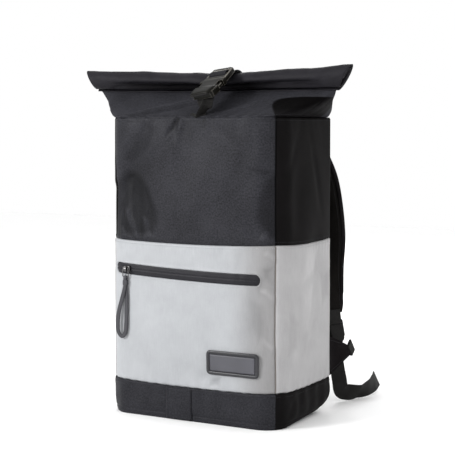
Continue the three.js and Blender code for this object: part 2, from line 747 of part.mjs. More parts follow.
function zipPull() {
  const ringBottom = -2 * RING.halfTall;
  const leather = plate(tableOutline(PULL_OUTLINE), PULL.thick, PULL.bevel, [tableOutline(PULL_OPENING)]);
  leather.translate(0, ringBottom - EYELET.inner, RING_OUT);
  const circle = (radius) => Array.from({ length: EYELET.steps }, (_, k) => {
    const angle = (2 * Math.PI * k) / EYELET.steps;
    return [radius * Math.cos(angle), radius * Math.sin(angle)];
  });
  const eyelet = plate(circle(EYELET.outer), EYELET.width, 0, [circle(EYELET.inner).toReversed()]);
  eyelet.rotateY(Math.PI / 2).translate(0, ringBottom, RING_OUT);
  return atSlider(joined(leather, eyelet));
}

function pullKeeper() {
  const halfWide = PULL_OUTLINE[0].half + GAP;
  const halfThick = PULL.thick / 2 + GAP;
  const wide = halfWide + KEEPER.wall;
  const thick = halfThick + KEEPER.wall;
  const opening = box(-halfWide, halfWide, -halfThick, halfThick).toReversed();
  const band = plate(box(-wide, wide, -thick, thick), KEEPER.tall, 0, [opening]);
  band.rotateX(Math.PI / 2).translate(KEEPER.aside, -2 * RING.halfTall - KEEPER.down, RING_OUT);
  return atSlider(band);
}

function badge() {
  const rings = BADGE_PROFILE.map((row) => {
    const radius = Math.max(BADGE.radius - row.inset, 1);
    const halfWide = BADGE.width / 2 - row.inset - radius;
    const halfTall = BADGE.tall / 2 - row.inset - radius;
    const corners = [
      { x: halfWide, y: -halfTall, radius, run: BADGE.shortRun },
      { x: halfWide, y: halfTall, radius, run: BADGE.longRun },
      { x: -halfWide, y: halfTall, radius, run: BADGE.shortRun },
      { x: -halfWide, y: -halfTall, radius, run: BADGE.longRun },
    ];
    return roundedLoop(corners, BADGE.arc).map((p) => skin(BADGE.across + p.x, BADGE.up + p.y, -row.out));
  });
  return ringSolid(rings, "capped");
}

// The roll's section: a spiral around its axis; along runs from -1 at the left end to 1
function rollPoint(along, turn, inset) {
  const column = (name) => readTable(ROLL_SECTION, "along", name, along);
  const angle = THREE.MathUtils.degToRad(ROLL.start) + 2 * Math.PI * turn;
  const shrink = 1 - ROLL.pitch * turn;
  const halfTall = column("halfTall");
  const y = column("y") + (column("halfDeep") * shrink - inset) * Math.cos(angle);
  const z = column("z") + (halfTall * shrink - inset) * Math.sin(angle);
  const height = clampShare((z - column("z") + halfTall) / (2 * halfTall));
  return new THREE.Vector3(along * mix(ROLL.bottomHalf, ROLL.topHalf, height), y, z);
}

// Half of the collar's lower outline from one side's middle to the other, at equal distances
function collarHalf(front, inset) {
  const half = BODY.width / 2 - inset;
  const middle = (BODY.front + BODY.collarBack) / 2;
  const radius = (front ? BODY.corner : BODY.backCorner) - inset;
  const edge = front ? BODY.front + inset : BODY.collarBack - inset;
  const inward = front ? 1 : -1;
  const path = new THREE.Path().moveTo(-half, middle);
  path.lineTo(-half, edge + inward * radius);
  const quarter = inward * (Math.PI / 2);
  path.absarc(-half + radius, edge + inward * radius, radius, Math.PI, Math.PI + quarter, !front);
  path.lineTo(half - radius, edge);
  path.absarc(half - radius, edge + inward * radius, radius, -quarter, 0, !front);
  path.lineTo(half, middle);
  return path.getSpacedPoints(NECK.half);
}

// A point of the neck's cloth between the seam and the ridge
function neckPoint(base, along, rise, front, inside) {
  const crowded = Math.sign(along) * (1 - (1 - Math.abs(along)) ** NECK.gather) * NECK.reach;
  const ridge = rollPoint(inside ? crowded * NECK.hollowLength : crowded, 0, CLOTH.rolled / 2);
  const bottom = new THREE.Vector3(base.x, base.y, LEVEL.seam + GAP / 2);
  ridge.z -= inside ? NECK.hollowTop : 0;
  const point = bottom.lerp(ridge, rise);
  const arc = Math.sin(Math.PI * rise);
  const toEnd = Math.abs(along);
  const bulge = NECK.bulge * arc * THREE.MathUtils.smoothstep(toEnd, NECK.bulgeFrom, NECK.bulgeFull);
  const outward = base.clone().normalize();
  point.x += outward.x * bulge;
  point.y += outward.y * bulge;
  point.z -= NECK.sag * arc * (1 - toEnd * toEnd);
  if (front) {
    for (const fold of NECK_FOLDS) {
      const near = bell((along - fold.along) / fold.wide) * bell((rise - fold.rise) / fold.tall);
      point.z -= fold.depth * near * arc;
    }
  }
  return point;
}

function rollTopCollar() {
  const skinRings = (inset, inside) => {
    const frontHalf = collarHalf(true, inset);
    const backHalf = collarHalf(false, inset);
    return Array.from({ length: NECK.rows + 1 }, (_, j) => {
      const rise = j / NECK.rows;
      const share = (i) => (2 * i) / NECK.half - 1;
      const forward = frontHalf.map((base, i) => neckPoint(base, share(i), rise, true, inside));
      const behind = backHalf.map((base, i) => neckPoint(base, share(i), rise, false, inside));
      return [...forward, ...behind.slice(1, -1).toReversed()];
    });
  };
  const outer = skinRings(0, false);
  const inner = skinRings(CLOTH.collar, true);
  const neck = ringSolid([...outer.toReversed(), ...inner], "open");
  const turns = Math.round(ROLL.turns * ROLL.perTurn);
  const turnAt = (u) => mix(-ROLL.lap, ROLL.turns, u);
  const roll = sheetSolid(
    (u, v) => rollPoint(2 * v - 1, turnAt(u), 0),
    (u, v) => rollPoint(2 * v - 1, turnAt(u), CLOTH.rolled),
    turns,
    ROLL.stations,
  );
  return joined(neck, roll);
}

// Flat band along a smooth line through rows of points with their width's direction
function webbing(rows, width, thick, perSpan) {
  const line = new THREE.CatmullRomCurve3(rows.map((row) => vector(row.at)), false, "centripetal");
  const spans = rows.length - 1;
  const rings = Array.from({ length: spans * perSpan + 1 }, (_, k) => {
    const share = k / (spans * perSpan);
    const row = Math.min(Math.floor(share * spans), spans - 1);
    const across = vector(rows[row].across).lerp(vector(rows[row + 1].across), share * spans - row);
    const run = line.getTangent(share);
    across.addScaledVector(run, -across.dot(run)).normalize();
    const out = new THREE.Vector3().crossVectors(run, across).normalize();
    const centre = line.getPoint(share);
    return [[-1, -1], [1, -1], [1, 1], [-1, 1]].map(([a, b]) => (
      centre.clone().addScaledVector(across, (a * width) / 2).addScaledVector(out, (b * thick) / 2)
    ));
  });
  return ringSolid(rings, "capped");
}

// The buckle's own axes: across, along towards the roll's top, and out of its face
const buckleAlong = vector(BUCKLE_PLACE.along).normalize();
const buckleOut = vector(BUCKLE_PLACE.across).cross(buckleAlong).normalize();
const buckleAcross = new THREE.Vector3().crossVectors(buckleAlong, buckleOut);
const bucklePlace = new THREE.Matrix4()
  .makeBasis(buckleAcross, buckleAlong, buckleOut)
  .setPosition(vector(BUCKLE_PLACE.middle));
const onBuckle = (x, y, z) => new THREE.Vector3(x, y, z).applyMatrix4(bucklePlace);

function buckleSocket() {
  const half = BUCKLE.width / 2;
  const low = -BUCKLE.length / 2;
  const { endHalf, endRound, floor, slotHalf, windowLow, windowHigh, wall } = SOCKET;
  const { thick, bevel, through } = BUCKLE;
  const corners = [
    [-endHalf + endRound, low], [endHalf - endRound, low], [endHalf, low + endRound], [half, floor],
    [half, BUCKLE.mouth], [-half, BUCKLE.mouth], [-half, floor], [-endHalf, low + endRound],
  ];
  const slot = box(-slotHalf, slotHalf, SOCKET.slotLow, SOCKET.slotHigh).toReversed();
  const body = plate(corners, thick, bevel, [slot]);
  const mouth = plate(box(wall - half, half - wall, floor, BUCKLE.mouth + through), thick - 2 * wall, 0);
  const windows = [-1, 1].map((side) => {
    const edges = [side * (half - SOCKET.windowDeep), side * (half + through)];
    return plate(box(Math.min(...edges), Math.max(...edges), windowLow, windowHigh), thick + through, 0);
  });
  return cut(body, mouth, ...windows).applyMatrix4(bucklePlace);
}

function bucklePlug() {
  const { half, endHalf, endRound, armIn, armOut, tip, tabOut, guide, tongueThick } = PLUG;
  const low = BUCKLE.mouth + GAP;
  const high = BUCKLE.length / 2;
  const root = low + PLUG.root;
  const { slotHalf } = SOCKET;
  const holes = PLUG_SLOTS.map((slot) => box(-slotHalf, slotHalf, slot.low, slot.high).toReversed());
  const outline = [
    [-half, low], [half, low], [endHalf + endRound / 2, high - endRound],
    [endHalf - endRound, high], [endRound - endHalf, high], [-endHalf - endRound / 2, high - endRound],
  ];
  const base = plate(outline, PLUG.thick, PLUG.bevel, holes);
  const tongue = plate(box(-guide, guide, tip, root), tongueThick, 0);
  const arms = [-1, 1].map((side) => {
    const rows = [
      [armIn, root], [armIn, tip], [PLUG.armNose, tip], [tabOut, PLUG.tabLow],
      [tabOut, PLUG.tabHigh], [armOut, PLUG.tabEnd], [armOut, root],
    ];
    const corners = rows.map(([x, y]) => [side * x, y]);
    return plate(side > 0 ? corners : corners.toReversed(), tongueThick, 0);
  });
  return joined(base, tongue, ...arms).applyMatrix4(bucklePlace);
}

// A webbing row on the buckle's middle line
const onBar = (along, out) => ({ at: onBuckle(0, along, out).toArray(), across: buckleAcross.toArray() });

// Webbing rows of the top closure; the loop holds the socket's end bar
function frontStrapRows() {
  const bar = BUCKLE.thick / 2 + 1.5 * GAP + TOP_STRAP.thick / 2;
  const end = -BUCKLE.length / 2;
  const inSlot = (SOCKET.slotLow + SOCKET.slotHigh) / 2;
  const { below, hang, legIn, bend, round, tail, tailDrop } = BAR_TURN;
  const off = -GAP - TOP_STRAP.thick / 2 - TOP_STRAP.lift;
  const drops = [TOP_STRAP.anchorDrop, TOP_STRAP.seamDrop];
  const sewn = drops.map((drop) => ({
    at: skin(TOP_STRAP.anchorX, LEVEL.seam - drop, off).toArray(),
    across: [1, 0, 0],
  }));
  return [
    ...sewn,
    onBar(end - below, -bar - hang),
    onBar(end + legIn, -bar),
    onBar(inSlot - bend, -bar + round),
    onBar(inSlot, 0),
    onBar(inSlot - bend, bar - round),
    onBar(end, bar),
    onBar(end - tail, bar - tailDrop),
  ];
}

function backStrapRows() {
  const face = PLUG.thick / 2 + GAP + TOP_STRAP.thick / 2;
  const [near, far] = PLUG_SLOTS.map((slot) => (slot.low + slot.high) / 2);
  const { start, before, after, leave } = BAR_THREAD;
  const { x, high, low } = BACK_ANCHOR;
  const sewn = [high, low].map((z) => ({
    at: [x, backSkin(x, z) + 1.5 * GAP + TOP_STRAP.thick / 2, z],
    across: [1, 0, 0],
  }));
  return [
    onBar(BUCKLE.mouth + start, -face),
    onBar(near - before, -face),
    onBar(near, 0),
    onBar(near + after, face),
    onBar(far - after, face),
    onBar(far, 0),
    onBar(far + after, -face),
    onBar(BUCKLE.length / 2 + leave, -face),
    ...OVER_ROLL.map((row) => ({ at: [row.x, row.y, row.z], across: [1, 0, row.lean] })),
    ...sewn,
  ];
}

// Padded strap: flattened round sections along a smooth line
function shoulderStrap() {
  const rows = STRAP_ROWS;
  const middles = rows.map((row) => new THREE.Vector3(row.x, row.y, row.z));
  const line = new THREE.CatmullRomCurve3(middles, false, "centripetal");
  const spans = rows.length - 1;
  const flat = (value, power) => Math.sign(value) * Math.abs(value) ** power;
  const rings = Array.from({ length: STRAP.stations + 1 }, (_, k) => {
    const share = k / STRAP.stations;
    const row = Math.min(Math.floor(share * spans), spans - 1);
    const column = (name) => mix(rows[row][name], rows[row + 1][name], share * spans - row);
    const turn = THREE.MathUtils.degToRad(column("turn"));
    const run = line.getTangent(share);
    const across = new THREE.Vector3(Math.cos(turn), Math.sin(turn), 0);
    across.addScaledVector(run, -across.dot(run)).normalize();
    const out = new THREE.Vector3().crossVectors(run, across);
    const centre = line.getPoint(share);
    return Array.from({ length: STRAP.around }, (_, i) => {
      const angle = (2 * Math.PI * (i + 0.5)) / STRAP.around;
      return centre.clone()
        .addScaledVector(across, (column("width") / 2) * flat(Math.cos(angle), STRAP.flatWide))
        .addScaledVector(out, (column("thick") / 2) * flat(Math.sin(angle), STRAP.flatThick));
    });
  });
  return ringSolid(rings, "capped");
}

// The lock's own axes: along its bars, up, and out towards the side tab
const lockTurn = THREE.MathUtils.degToRad(LOCK.turn);
const lockAcross = new THREE.Vector3(Math.cos(lockTurn), Math.sin(lockTurn), 0);
const lockUp = new THREE.Vector3(0, 0, 1).applyAxisAngle(lockAcross, THREE.MathUtils.degToRad(LOCK.lean));
const lockPlace = new THREE.Matrix4()
  .makeBasis(lockAcross, lockUp, new THREE.Vector3().crossVectors(lockAcross, lockUp))
  .setPosition(vector(LOCK.at));
const lockRow = (up, out) => ({
  at: new THREE.Vector3(0, up, out).applyMatrix4(lockPlace).toArray(),
  across: lockAcross.toArray(),
});
const LOCK_FACE = LOCK.thick / 2 + GAP + CLOTH.webbing / 2;

function ladderLock() {
  const half = LOCK.width / 2;
  const tall = LOCK.tall / 2;
  const { trim } = LOCK;
  const corners = [
    [-half + trim, -tall], [half - trim, -tall], [half, -tall + trim], [half, tall - trim],
    [half - trim, tall], [-half + trim, tall], [-half, tall - trim], [-half, -tall + trim],
  ];
  const { slotHalf } = LOCK;
  const holes = LOCK_SLOTS.map((slot) => box(-slotHalf, slotHalf, slot.low, slot.high).toReversed());
  return plate(corners, LOCK.thick, LOCK.bevel, holes).applyMatrix4(lockPlace);
}

// Half of a bend around a bar of the lock: distance from the bend's end and towards the lock
const LOCK_BEND = [
  { back: 3, in: 0 },
  { back: 0.9, in: 0.2 },
  { back: -0.2, in: 1.6 },
  { back: -0.3, in: LOCK_FACE },
];

// Rows around a bar; way is 1 for a bend whose legs run up and -1 for legs that run down
function lockBendRows(turn, way, firstSide) {
  const leg = (side) => LOCK_BEND.slice(0, -1).map((row) => (
    lockRow(turn + way * row.back, side * (LOCK_FACE - row.in))
  ));
  const end = LOCK_BEND[LOCK_BEND.length - 1];
  return [...leg(firstSide), lockRow(turn + way * end.back, 0), ...leg(-firstSide).toReversed()];
}

// Webbing loop that ties the lock's top bar to the strap's end: legs spread around the strap
const LOOP_LEG = [
  { up: 28, spread: 1.6 },
  { up: 20, spread: 0.6 },
];

function lockLoopRows() {
  const turn = LOCK_SLOTS[0].high - 1.6 * GAP - CLOTH.webbing / 2;
  const leg = (side) => LOOP_LEG.map((row) => lockRow(row.up, side * (LOCK_FACE + row.spread)));
  return [...leg(-1), ...lockBendRows(turn, 1, -1), ...leg(1).toReversed()];
}

// Webbing from the tab up the lock's outer side, over its middle bar and down to the floor
const LOAD_LEG = [
  { up: -14, spread: 0.6 },
  { up: -6, spread: 0.1 },
];
const TAIL_LEG = [
  { up: -8, spread: 0.15 },
  { up: -17, spread: 0.9 },
];

function lowerWebbingRows() {
  const turn = LOCK_SLOTS[0].low + GAP + CLOTH.webbing / 2;
  const leg = (rows, side) => rows.map((row) => lockRow(row.up, side * (LOCK_FACE + row.spread)));
  return [
    ...LOAD_ROWS,
    ...leg(LOAD_LEG, 1),
    ...lockBendRows(turn, -1, 1),
    ...leg(TAIL_LEG, -1),
    ...TAIL_ROWS,
  ];
}

function sideTab() {
  const cloth = plate(TAB_CORNERS.map((row) => [row.y, row.z]), TAB.thick, 0);
  const place = new THREE.Matrix4().makeBasis(
    new THREE.Vector3(0, 1, 0),
    new THREE.Vector3(0, 0, 1),
    new THREE.Vector3(1, 0, 0),
  );
  return cloth.applyMatrix4(place).translate(TAB.inner + TAB.thick / 2, 0, 0);
}

// Webbing folded over at the tab's tip: out, around and back
function tabLoopRows() {
  const low = TAB_CORNERS[1];
  const high = TAB_CORNERS[2];
  const across = new THREE.Vector3(0, low.y - high.y, low.z - high.z).normalize();
  const out = new THREE.Vector3(0, -across.z, across.y);
  const middle = new THREE.Vector3(TAB.inner + TAB.thick / 2, (low.y + high.y) / 2, (low.z + high.z) / 2);
  middle.addScaledVector(across, TAB.loopDown);
  const radius = CLOTH.webbing / 2 + GAP;
  const stations = TAB_FOLD.map((row) => ({ far: row.far, aside: row.aside * radius }));
  const row = (station, side) => ({
    at: middle.clone().addScaledVector(out, station.far).setX(middle.x + side * station.aside).toArray(),
    across: across.toArray(),
  });
  const back = stations.slice(0, -1).toReversed();
  return [...stations.map((station) => row(station, 1)), ...back.map((station) => row(station, -1))];
}

// The assembly
addPiece("base_boot", baseBoot(), "dark_cloth");
addPiece("light_loop_tab", lightLoopTab(), "dark_cloth");
for (const panel of PANELS) {
  const whole = panelSolid(panel);
  const pocket = panel.name === "pocket_front_panel";
  const geometry = pocket ? cut(whole, slotSolid(0, -6, CLOTH.panel + 4)) : whole;
  addPiece(panel.name, geometry, panel.low === "boot" ? "grey_cloth" : "dark_cloth");
}
addPiece("back_panel", backPanel(), "padded_cloth");
addPiece("roll_top_collar", rollTopCollar(), "dark_cloth");
const tapeDepth = CLOTH.panel + ZIP.behind;
addPiece("pocket_zip", slotSolid(ZIP.margin, tapeDepth, tapeDepth + ZIP.tape), "zip_tape");
addPiece("zip_slider", zipSlider(), "zip_metal");
addPiece("zip_pull_ring", zipRing(), "zip_metal");
addPiece("zip_pull_loop", zipPull(), "leather");
addPiece("pull_keeper", pullKeeper(), "leather");
addPiece("badge", badge(), "rubber");
addPiece("buckle_socket", buckleSocket(), "buckle_plastic");
addPiece("buckle_plug", bucklePlug(), "buckle_plastic");
addPiece("front_strap", webbing(frontStrapRows(), TOP_STRAP.width, TOP_STRAP.thick, 2), "webbing");
addPiece("back_strap", webbing(backStrapRows(), TOP_STRAP.width, TOP_STRAP.thick, 2), "webbing");

const lowerBand = (rows) => webbing(rows, WEBBING_WIDTH, CLOTH.webbing, 2);
const PAIRS = [
  { name: "shoulder_strap", geometry: shoulderStrap(), finish: "padded_cloth" },
  { name: "lock_loop", geometry: lowerBand(lockLoopRows()), finish: "webbing" },
  { name: "ladder_lock", geometry: ladderLock(), finish: "buckle_plastic" },
  { name: "lower_webbing", geometry: lowerBand(lowerWebbingRows()), finish: "webbing" },
  { name: "side_tab", geometry: sideTab(), finish: "webbing" },
  { name: "tab_loop", geometry: webbing(tabLoopRows(), TAB.loopWidth, CLOTH.webbing, 2), finish: "webbing" },
];
for (const { name, geometry, finish } of PAIRS) {
  const right = fromSolid(toSolid(geometry));
  addPiece(`${name}_right`, right, finish);
  addPiece(`${name}_left`, mirrored(right), finish);
}

export default part;
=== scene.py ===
"""Roll-top laptop backpack: its finished looks, in metres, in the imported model's frame."""

import math
from collections import namedtuple

import bmesh
import bpy
import numpy as np
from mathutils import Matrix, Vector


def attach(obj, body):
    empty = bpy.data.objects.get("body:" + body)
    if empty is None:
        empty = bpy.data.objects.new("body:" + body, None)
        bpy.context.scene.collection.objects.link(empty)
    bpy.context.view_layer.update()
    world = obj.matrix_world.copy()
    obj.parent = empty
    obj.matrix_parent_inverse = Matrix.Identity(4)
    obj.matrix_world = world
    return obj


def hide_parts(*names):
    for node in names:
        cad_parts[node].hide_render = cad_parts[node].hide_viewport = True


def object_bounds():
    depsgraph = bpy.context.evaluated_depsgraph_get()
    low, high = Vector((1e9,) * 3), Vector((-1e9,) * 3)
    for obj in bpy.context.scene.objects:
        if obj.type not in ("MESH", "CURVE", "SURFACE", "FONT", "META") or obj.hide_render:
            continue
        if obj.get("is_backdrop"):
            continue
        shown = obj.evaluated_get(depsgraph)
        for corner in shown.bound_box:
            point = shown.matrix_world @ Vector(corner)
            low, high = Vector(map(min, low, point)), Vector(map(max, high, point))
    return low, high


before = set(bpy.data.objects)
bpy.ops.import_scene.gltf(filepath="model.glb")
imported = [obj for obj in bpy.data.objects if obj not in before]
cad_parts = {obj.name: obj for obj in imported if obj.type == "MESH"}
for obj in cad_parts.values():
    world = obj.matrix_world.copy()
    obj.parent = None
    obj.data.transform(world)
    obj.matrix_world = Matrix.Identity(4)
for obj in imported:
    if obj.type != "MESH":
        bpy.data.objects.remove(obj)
cad_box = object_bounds()
scene = bpy.context.scene

MM = 0.001
# Clearance between touching pieces, in millimetres
GAP = 0.3

# Body sizes in millimetres; across runs along the body's outline from the front's middle
WIDTH, FRONT, SIDE_BACK, COLLAR_BACK, BOOT_BACK = 290, -81.5, 81.5, 86, 88
CORNER, BACK_CORNER, BOOT_CORNER = 38, 20, 9
LEVEL = {"boot": 52, "band": 258, "seam": 435}
FLAT_END = WIDTH / 2 - CORNER
CORNER_LENGTH = math.pi / 2 * CORNER
SEAM_AT = FLAT_END + CORNER_LENGTH / 2
SIDE_END = FLAT_END + CORNER_LENGTH + SIDE_BACK - FRONT - CORNER
SWELL_FRONT, SWELL_SIDE = 3, 5
SAG_FRONT, SAG_SIDE = 3.5, 2
PANEL_THICK = 2.0
PANEL_STEP = 2.3
# Panels run past their seams by this much, so that no light shows through
OVERLAP = 0.25

# Dents of the body's cloth; a negative depth stands out, lean is in degrees from upright
Fold = namedtuple("Fold", "across up wide tall lean depth")
FOLDS = [
    Fold(-96, 345, 26, 40, 12, 5),
    Fold(-40, 395, 30, 42, -20, -3),
    Fold(30, 330, 46, 52, 0, -3),
    Fold(116, 288, 15, 26, 8, 4),
    Fold(112, 165, 17, 58, -4, 4.2),
    Fold(-60, 130, 40, 44, 0, -3),
    Fold(-8, 68, 22, 16, 0, 1.6),
    Fold(182, 320, 20, 70, 5, 2),
    Fold(236, 232, 22, 34, 0, 4),
    Fold(190, 130, 18, 48, 0, 3),
    Fold(-200, 310, 26, 70, -5, 2.5),
    Fold(-215, 150, 24, 50, 0, 3.5),
]
# Narrow creases that only show close up
CREASES = [
    Fold(-21, 420, 4, 14, 14, 1.6),
    Fold(-14, 421, 4, 13, 10, -1.1),
    Fold(60, 408, 7, 22, -48, 1.0),
    Fold(-78, 398, 7, 34, 24, 1.2),
    Fold(-66, 392, 8, 30, 24, -0.9),
    Fold(-108, 338, 20, 46, 8, 5.0),
    Fold(120, 168, 23, 74, -3, 4.6),
    Fold(126, 345, 16, 60, 4, 2.4),
    Fold(84, 232, 7, 22, 4, 1.6),
    Fold(76, 234, 6, 20, 6, -0.8),
    Fold(22, 64, 9, 12, 30, 1.3),
    Fold(36, 66, 8, 12, -24, 1.2),
    Fold(-122, 240, 6, 14, 40, 1.2),
    Fold(-110, 236, 7, 16, 40, -0.9),
    Fold(124, 150, 6, 30, -30, 1.4),
    Fold(-122, 318, 6, 30, 10, 1.5),
    Fold(-106, 300, 6, 26, 14, -1.2),
    Fold(104, 262, 5, 18, -20, 1.3),
    Fold(96, 300, 9, 26, -28, 1.0),
    Fold(120, 205, 5, 26, 26, 1.1),
    Fold(108, 214, 6, 24, 30, -0.9),
    Fold(96, 150, 6, 40, -18, 0.9),
    Fold(126, 128, 5, 30, 6, 1.1),
    Fold(30, 66, 8, 9, 24, 0.8),
    Fold(44, 64, 7, 8, -18, 0.8),
    Fold(160, 168, 6, 38, -22, 0.9),
    Fold(222, 120, 8, 40, 18, 1.0),
    Fold(170, 380, 8, 30, 30, 1.0),
    Fold(240, 350, 8, 44, -16, 1.2),
]

# Facets of the slack cloth in painted light and shade, also lifted by it: how much lighter each is, half
# width of its edge, corners as (across, up)
Facet = namedtuple("Facet", "lighter edge corners")
FACETS = [
    Facet(-0.5, 7, [
        (-170, 330), (-130, 343), (-112, 354), (-98, 354), (-82, 346), (-70, 332), (-64, 316), (-55, 300),
        (-54, 283), (-60, 266), (-170, 256),
    ]),
    Facet(0.34, 3, [(-114, 304), (-103, 300), (-84, 262), (-96, 261)]),
    Facet(0.34, 3, [(-78, 290), (-70, 286), (-63, 262), (-72, 262)]),
    Facet(0.28, 2, [(-122, 276), (-114, 274), (-105, 260), (-116, 260)]),
    Facet(0.16, 4, [(-104, 423), (-76, 433), (-80, 420), (-102, 400), (-117, 392)]),
    Facet(-0.2, 5, [(-74, 427), (-54, 416), (-64, 394), (-99, 370), (-115, 373), (-90, 400)]),
    Facet(-0.34, 6, [(138, 356), (123, 348), (112, 320), (108, 294), (118, 276), (127, 267), (138, 267)]),
    Facet(0.3, 2.5, [(111, 264), (123, 278), (127, 264)]),
    Facet(-0.24, 3, [(97, 363), (118, 362), (135, 358), (118, 352)]),
    Facet(-0.42, 2, [(-20, 436), (-15, 434), (-25, 416), (-37, 407), (-30, 420)]),
    Facet(0.14, 3, [(-13, 434), (-3, 434), (-12, 416), (-24, 408)]),
    Facet(-0.18, 3, [(20, 436), (30, 436), (26, 417), (22, 417)]),
    Facet(0.5, 4, [(113, 193), (120, 188), (136, 177), (136, 186), (124, 194)]),
    Facet(-0.5, 7, [(97, 182), (113, 170), (120, 152), (119, 133), (111, 122), (99, 145)]),
    Facet(-0.4, 4, [(120, 223), (133, 227), (134, 202), (126, 206)]),
    Facet(0.45, 3, [(126, 250), (136, 242), (136, 234), (120, 244)]),
    Facet(0.45, 3, [(120, 126), (134, 116), (134, 106), (122, 119)]),
    Facet(-0.5, 3, [(37, 64), (52, 68), (47, 56), (34, 54)]),
    Facet(-0.45, 6, [(160, 160), (184, 144), (179, 109), (158, 102)]),
    Facet(0.45, 8, [(197, 244), (242, 246), (227, 214), (193, 204)]),
    Facet(-0.45, 8, [(250, 211), (280, 208), (281, 174), (258, 164)]),
    Facet(0.4, 7, [(190, 188), (220, 193), (212, 131), (196, 124)]),
]
# Millimetres that a facet would stand out if it were wholly lighter, on the grey band and on the upper cloth
BAND_LIFT, FACET_LIFT = 3.6, 4

# Spacing of the gathers and puckers along the seams, in millimetres
GATHER_PITCH, PUCKER_PITCH, BOOT_HEM_PITCH, TOP_HEM_PITCH = 15, 10, 17, 22

# The zip's ends, its height at the right, its rise to the left and half its width
ZIP_LEFT, ZIP_RIGHT, ZIP_UP, ZIP_RISE, ZIP_HALF = -130, 113, 208.5, 7, 8
SLIDER_ACROSS, SLIDER_FRONT = -106, 2.4


def bell(value):
    return np.exp(-value * value)


def share(value, low, high):
    return np.clip((value - low) / (high - low), 0, 1)


def smooth(value, low, high):
    part = share(value, low, high)
    return part * part * (3 - 2 * part)


def mix(low, high, part):
    return low + (high - low) * part


def soft_noise(x, y, size, seed):
    """Smooth random heights from -1 to 1 with bumps of about that size."""
    cells = 64
    heights = np.random.default_rng(seed).uniform(-1, 1, (cells, cells))
    x, y = np.broadcast_arrays(np.asarray(x, float) / size, np.asarray(y, float) / size)
    i, j = np.floor(x).astype(int), np.floor(y).astype(int)
    u, v = smooth(x - i, 0, 1), smooth(y - j, 0, 1)
    corner = lambda di, dj: heights[(i + di) % cells, (j + dj) % cells]
    low = mix(corner(0, 0), corner(1, 0), u)
    return mix(low, mix(corner(0, 1), corner(1, 1), u), v)


def outline_at(across):
    """Point and outward direction on the body's outline."""
    side = np.where(across < 0, -1.0, 1.0)
    reach = np.abs(across)
    angle = share(reach, FLAT_END, FLAT_END + CORNER_LENGTH) * math.pi / 2
    straight = np.maximum(reach - FLAT_END - CORNER_LENGTH, 0)
    x = side * (np.minimum(reach, FLAT_END) + CORNER * np.sin(angle))
    y = FRONT + CORNER * (1 - np.cos(angle)) + straight
    return x, y, side * np.sin(angle), -np.cos(angle)


def seam_sag(x, y):
    front_sag = SAG_FRONT * (1 - (2 * x / WIDTH) ** 2)
    side_sag = SAG_SIDE * np.maximum(1 - (y / SIDE_BACK) ** 2, 0)
    return mix(side_sag, front_sag, share(y, FRONT / 2, FRONT))


def seam_height(level, across):
    x, y, _, _ = outline_at(across)
    return LEVEL[level] - (0 if level == "seam" else seam_sag(x, y))


def fold_depth(fold, across, up):
    lean = math.radians(fold.lean)
    aside, above = across - fold.across, up - fold.up
    wide = (aside * math.cos(lean) - above * math.sin(lean)) / fold.wide
    tall = (aside * math.sin(lean) + above * math.cos(lean)) / fold.tall
    return fold.depth * bell(wide) * bell(tall)


def facet_tone(across, up):
    """Sum of the facets' painted lightness, which also lifts the cloth, each fading out over its own edge."""
    across, up = np.broadcast_arrays(np.asarray(across, float), np.asarray(up, float))
    total = np.zeros(across.shape)
    for facet in FACETS:
        away = np.full(across.shape, np.inf)
        inside = np.zeros(across.shape, dtype=bool)
        for (x0, y0), (x1, y1) in zip(facet.corners, facet.corners[1:] + facet.corners[:1]):
            run_x, run_y = x1 - x0, y1 - y0
            part = share((across - x0) * run_x + (up - y0) * run_y, 0, run_x ** 2 + run_y ** 2)
            away = np.minimum(away, np.hypot(across - x0 - part * run_x, up - y0 - part * run_y))
            spans = (y0 > up) != (y1 > up)
            inside ^= spans & (across < x0 + (up - y0) * run_x / (run_y or 1))
        total = total + facet.lighter * smooth(np.where(inside, away, -away), -facet.edge, facet.edge)
    return total


def main_relief(across, up):
    """How far the filled cloth stands out of the plain outline."""
    reach = np.abs(across)
    rise = np.sin(math.pi * share(up, LEVEL["boot"], LEVEL["seam"]))
    front_swell = SWELL_FRONT * np.cos(math.pi / 2 * share(reach, 0, SEAM_AT))
    side_swell = SWELL_SIDE * np.sin(math.pi * share(reach, SEAM_AT, SIDE_END))
    height = rise * (front_swell + side_swell)
    for fold in FOLDS:
        height = height - fold_depth(fold, across, up)
    return height


def small_folds(across, up):
    """Creases, facets and gathers along the seams."""
    height = np.zeros(np.broadcast(across, up).shape)
    for crease in CREASES:
        height = height - fold_depth(crease, across, up)
    above = up - seam_height("band", across)
    dark = smooth(above, -1, 3)
    left = smooth(-across, 45, 80)
    wobble = 5 * soft_noise(across, up, 34, 3)
    gather = np.sin(2 * math.pi * (across + wobble + 0.12 * above) / GATHER_PITCH)
    on_front = 1 - smooth(np.abs(across), SEAM_AT - 22, SEAM_AT - 4)
    height = height + dark * on_front * (0.3 + 0.5 * left) * gather * np.exp(-np.maximum(above, 0) / 36)
    below = np.maximum(-above, 0)
    to_back = smooth(np.abs(across), 205, 285)
    pucker = np.sin(2 * math.pi * (across + 2 * soft_noise(across, up, 14, 5)) / PUCKER_PITCH)
    height = height + (1 - dark) * (0.25 + 0.75 * to_back) * pucker * np.exp(-below / 12)
    over_boot = np.maximum(up - seam_height("boot", across), 0)
    hem = np.sin(2 * math.pi * (across + 4 * soft_noise(across, up, 20, 7)) / BOOT_HEM_PITCH)
    height = height + 0.45 * hem * np.exp(-over_boot / 14)
    under_seam = np.maximum(LEVEL["seam"] - up, 0)
    top_hem = np.sin(2 * math.pi * (across + 6 * soft_noise(across, up, 25, 9)) / TOP_HEM_PITCH)
    height = height + mix(0.15, 0.55, on_front) * top_hem * np.exp(-under_seam / 16)
    return height + mix(BAND_LIFT, FACET_LIFT, dark) * facet_tone(across, up)


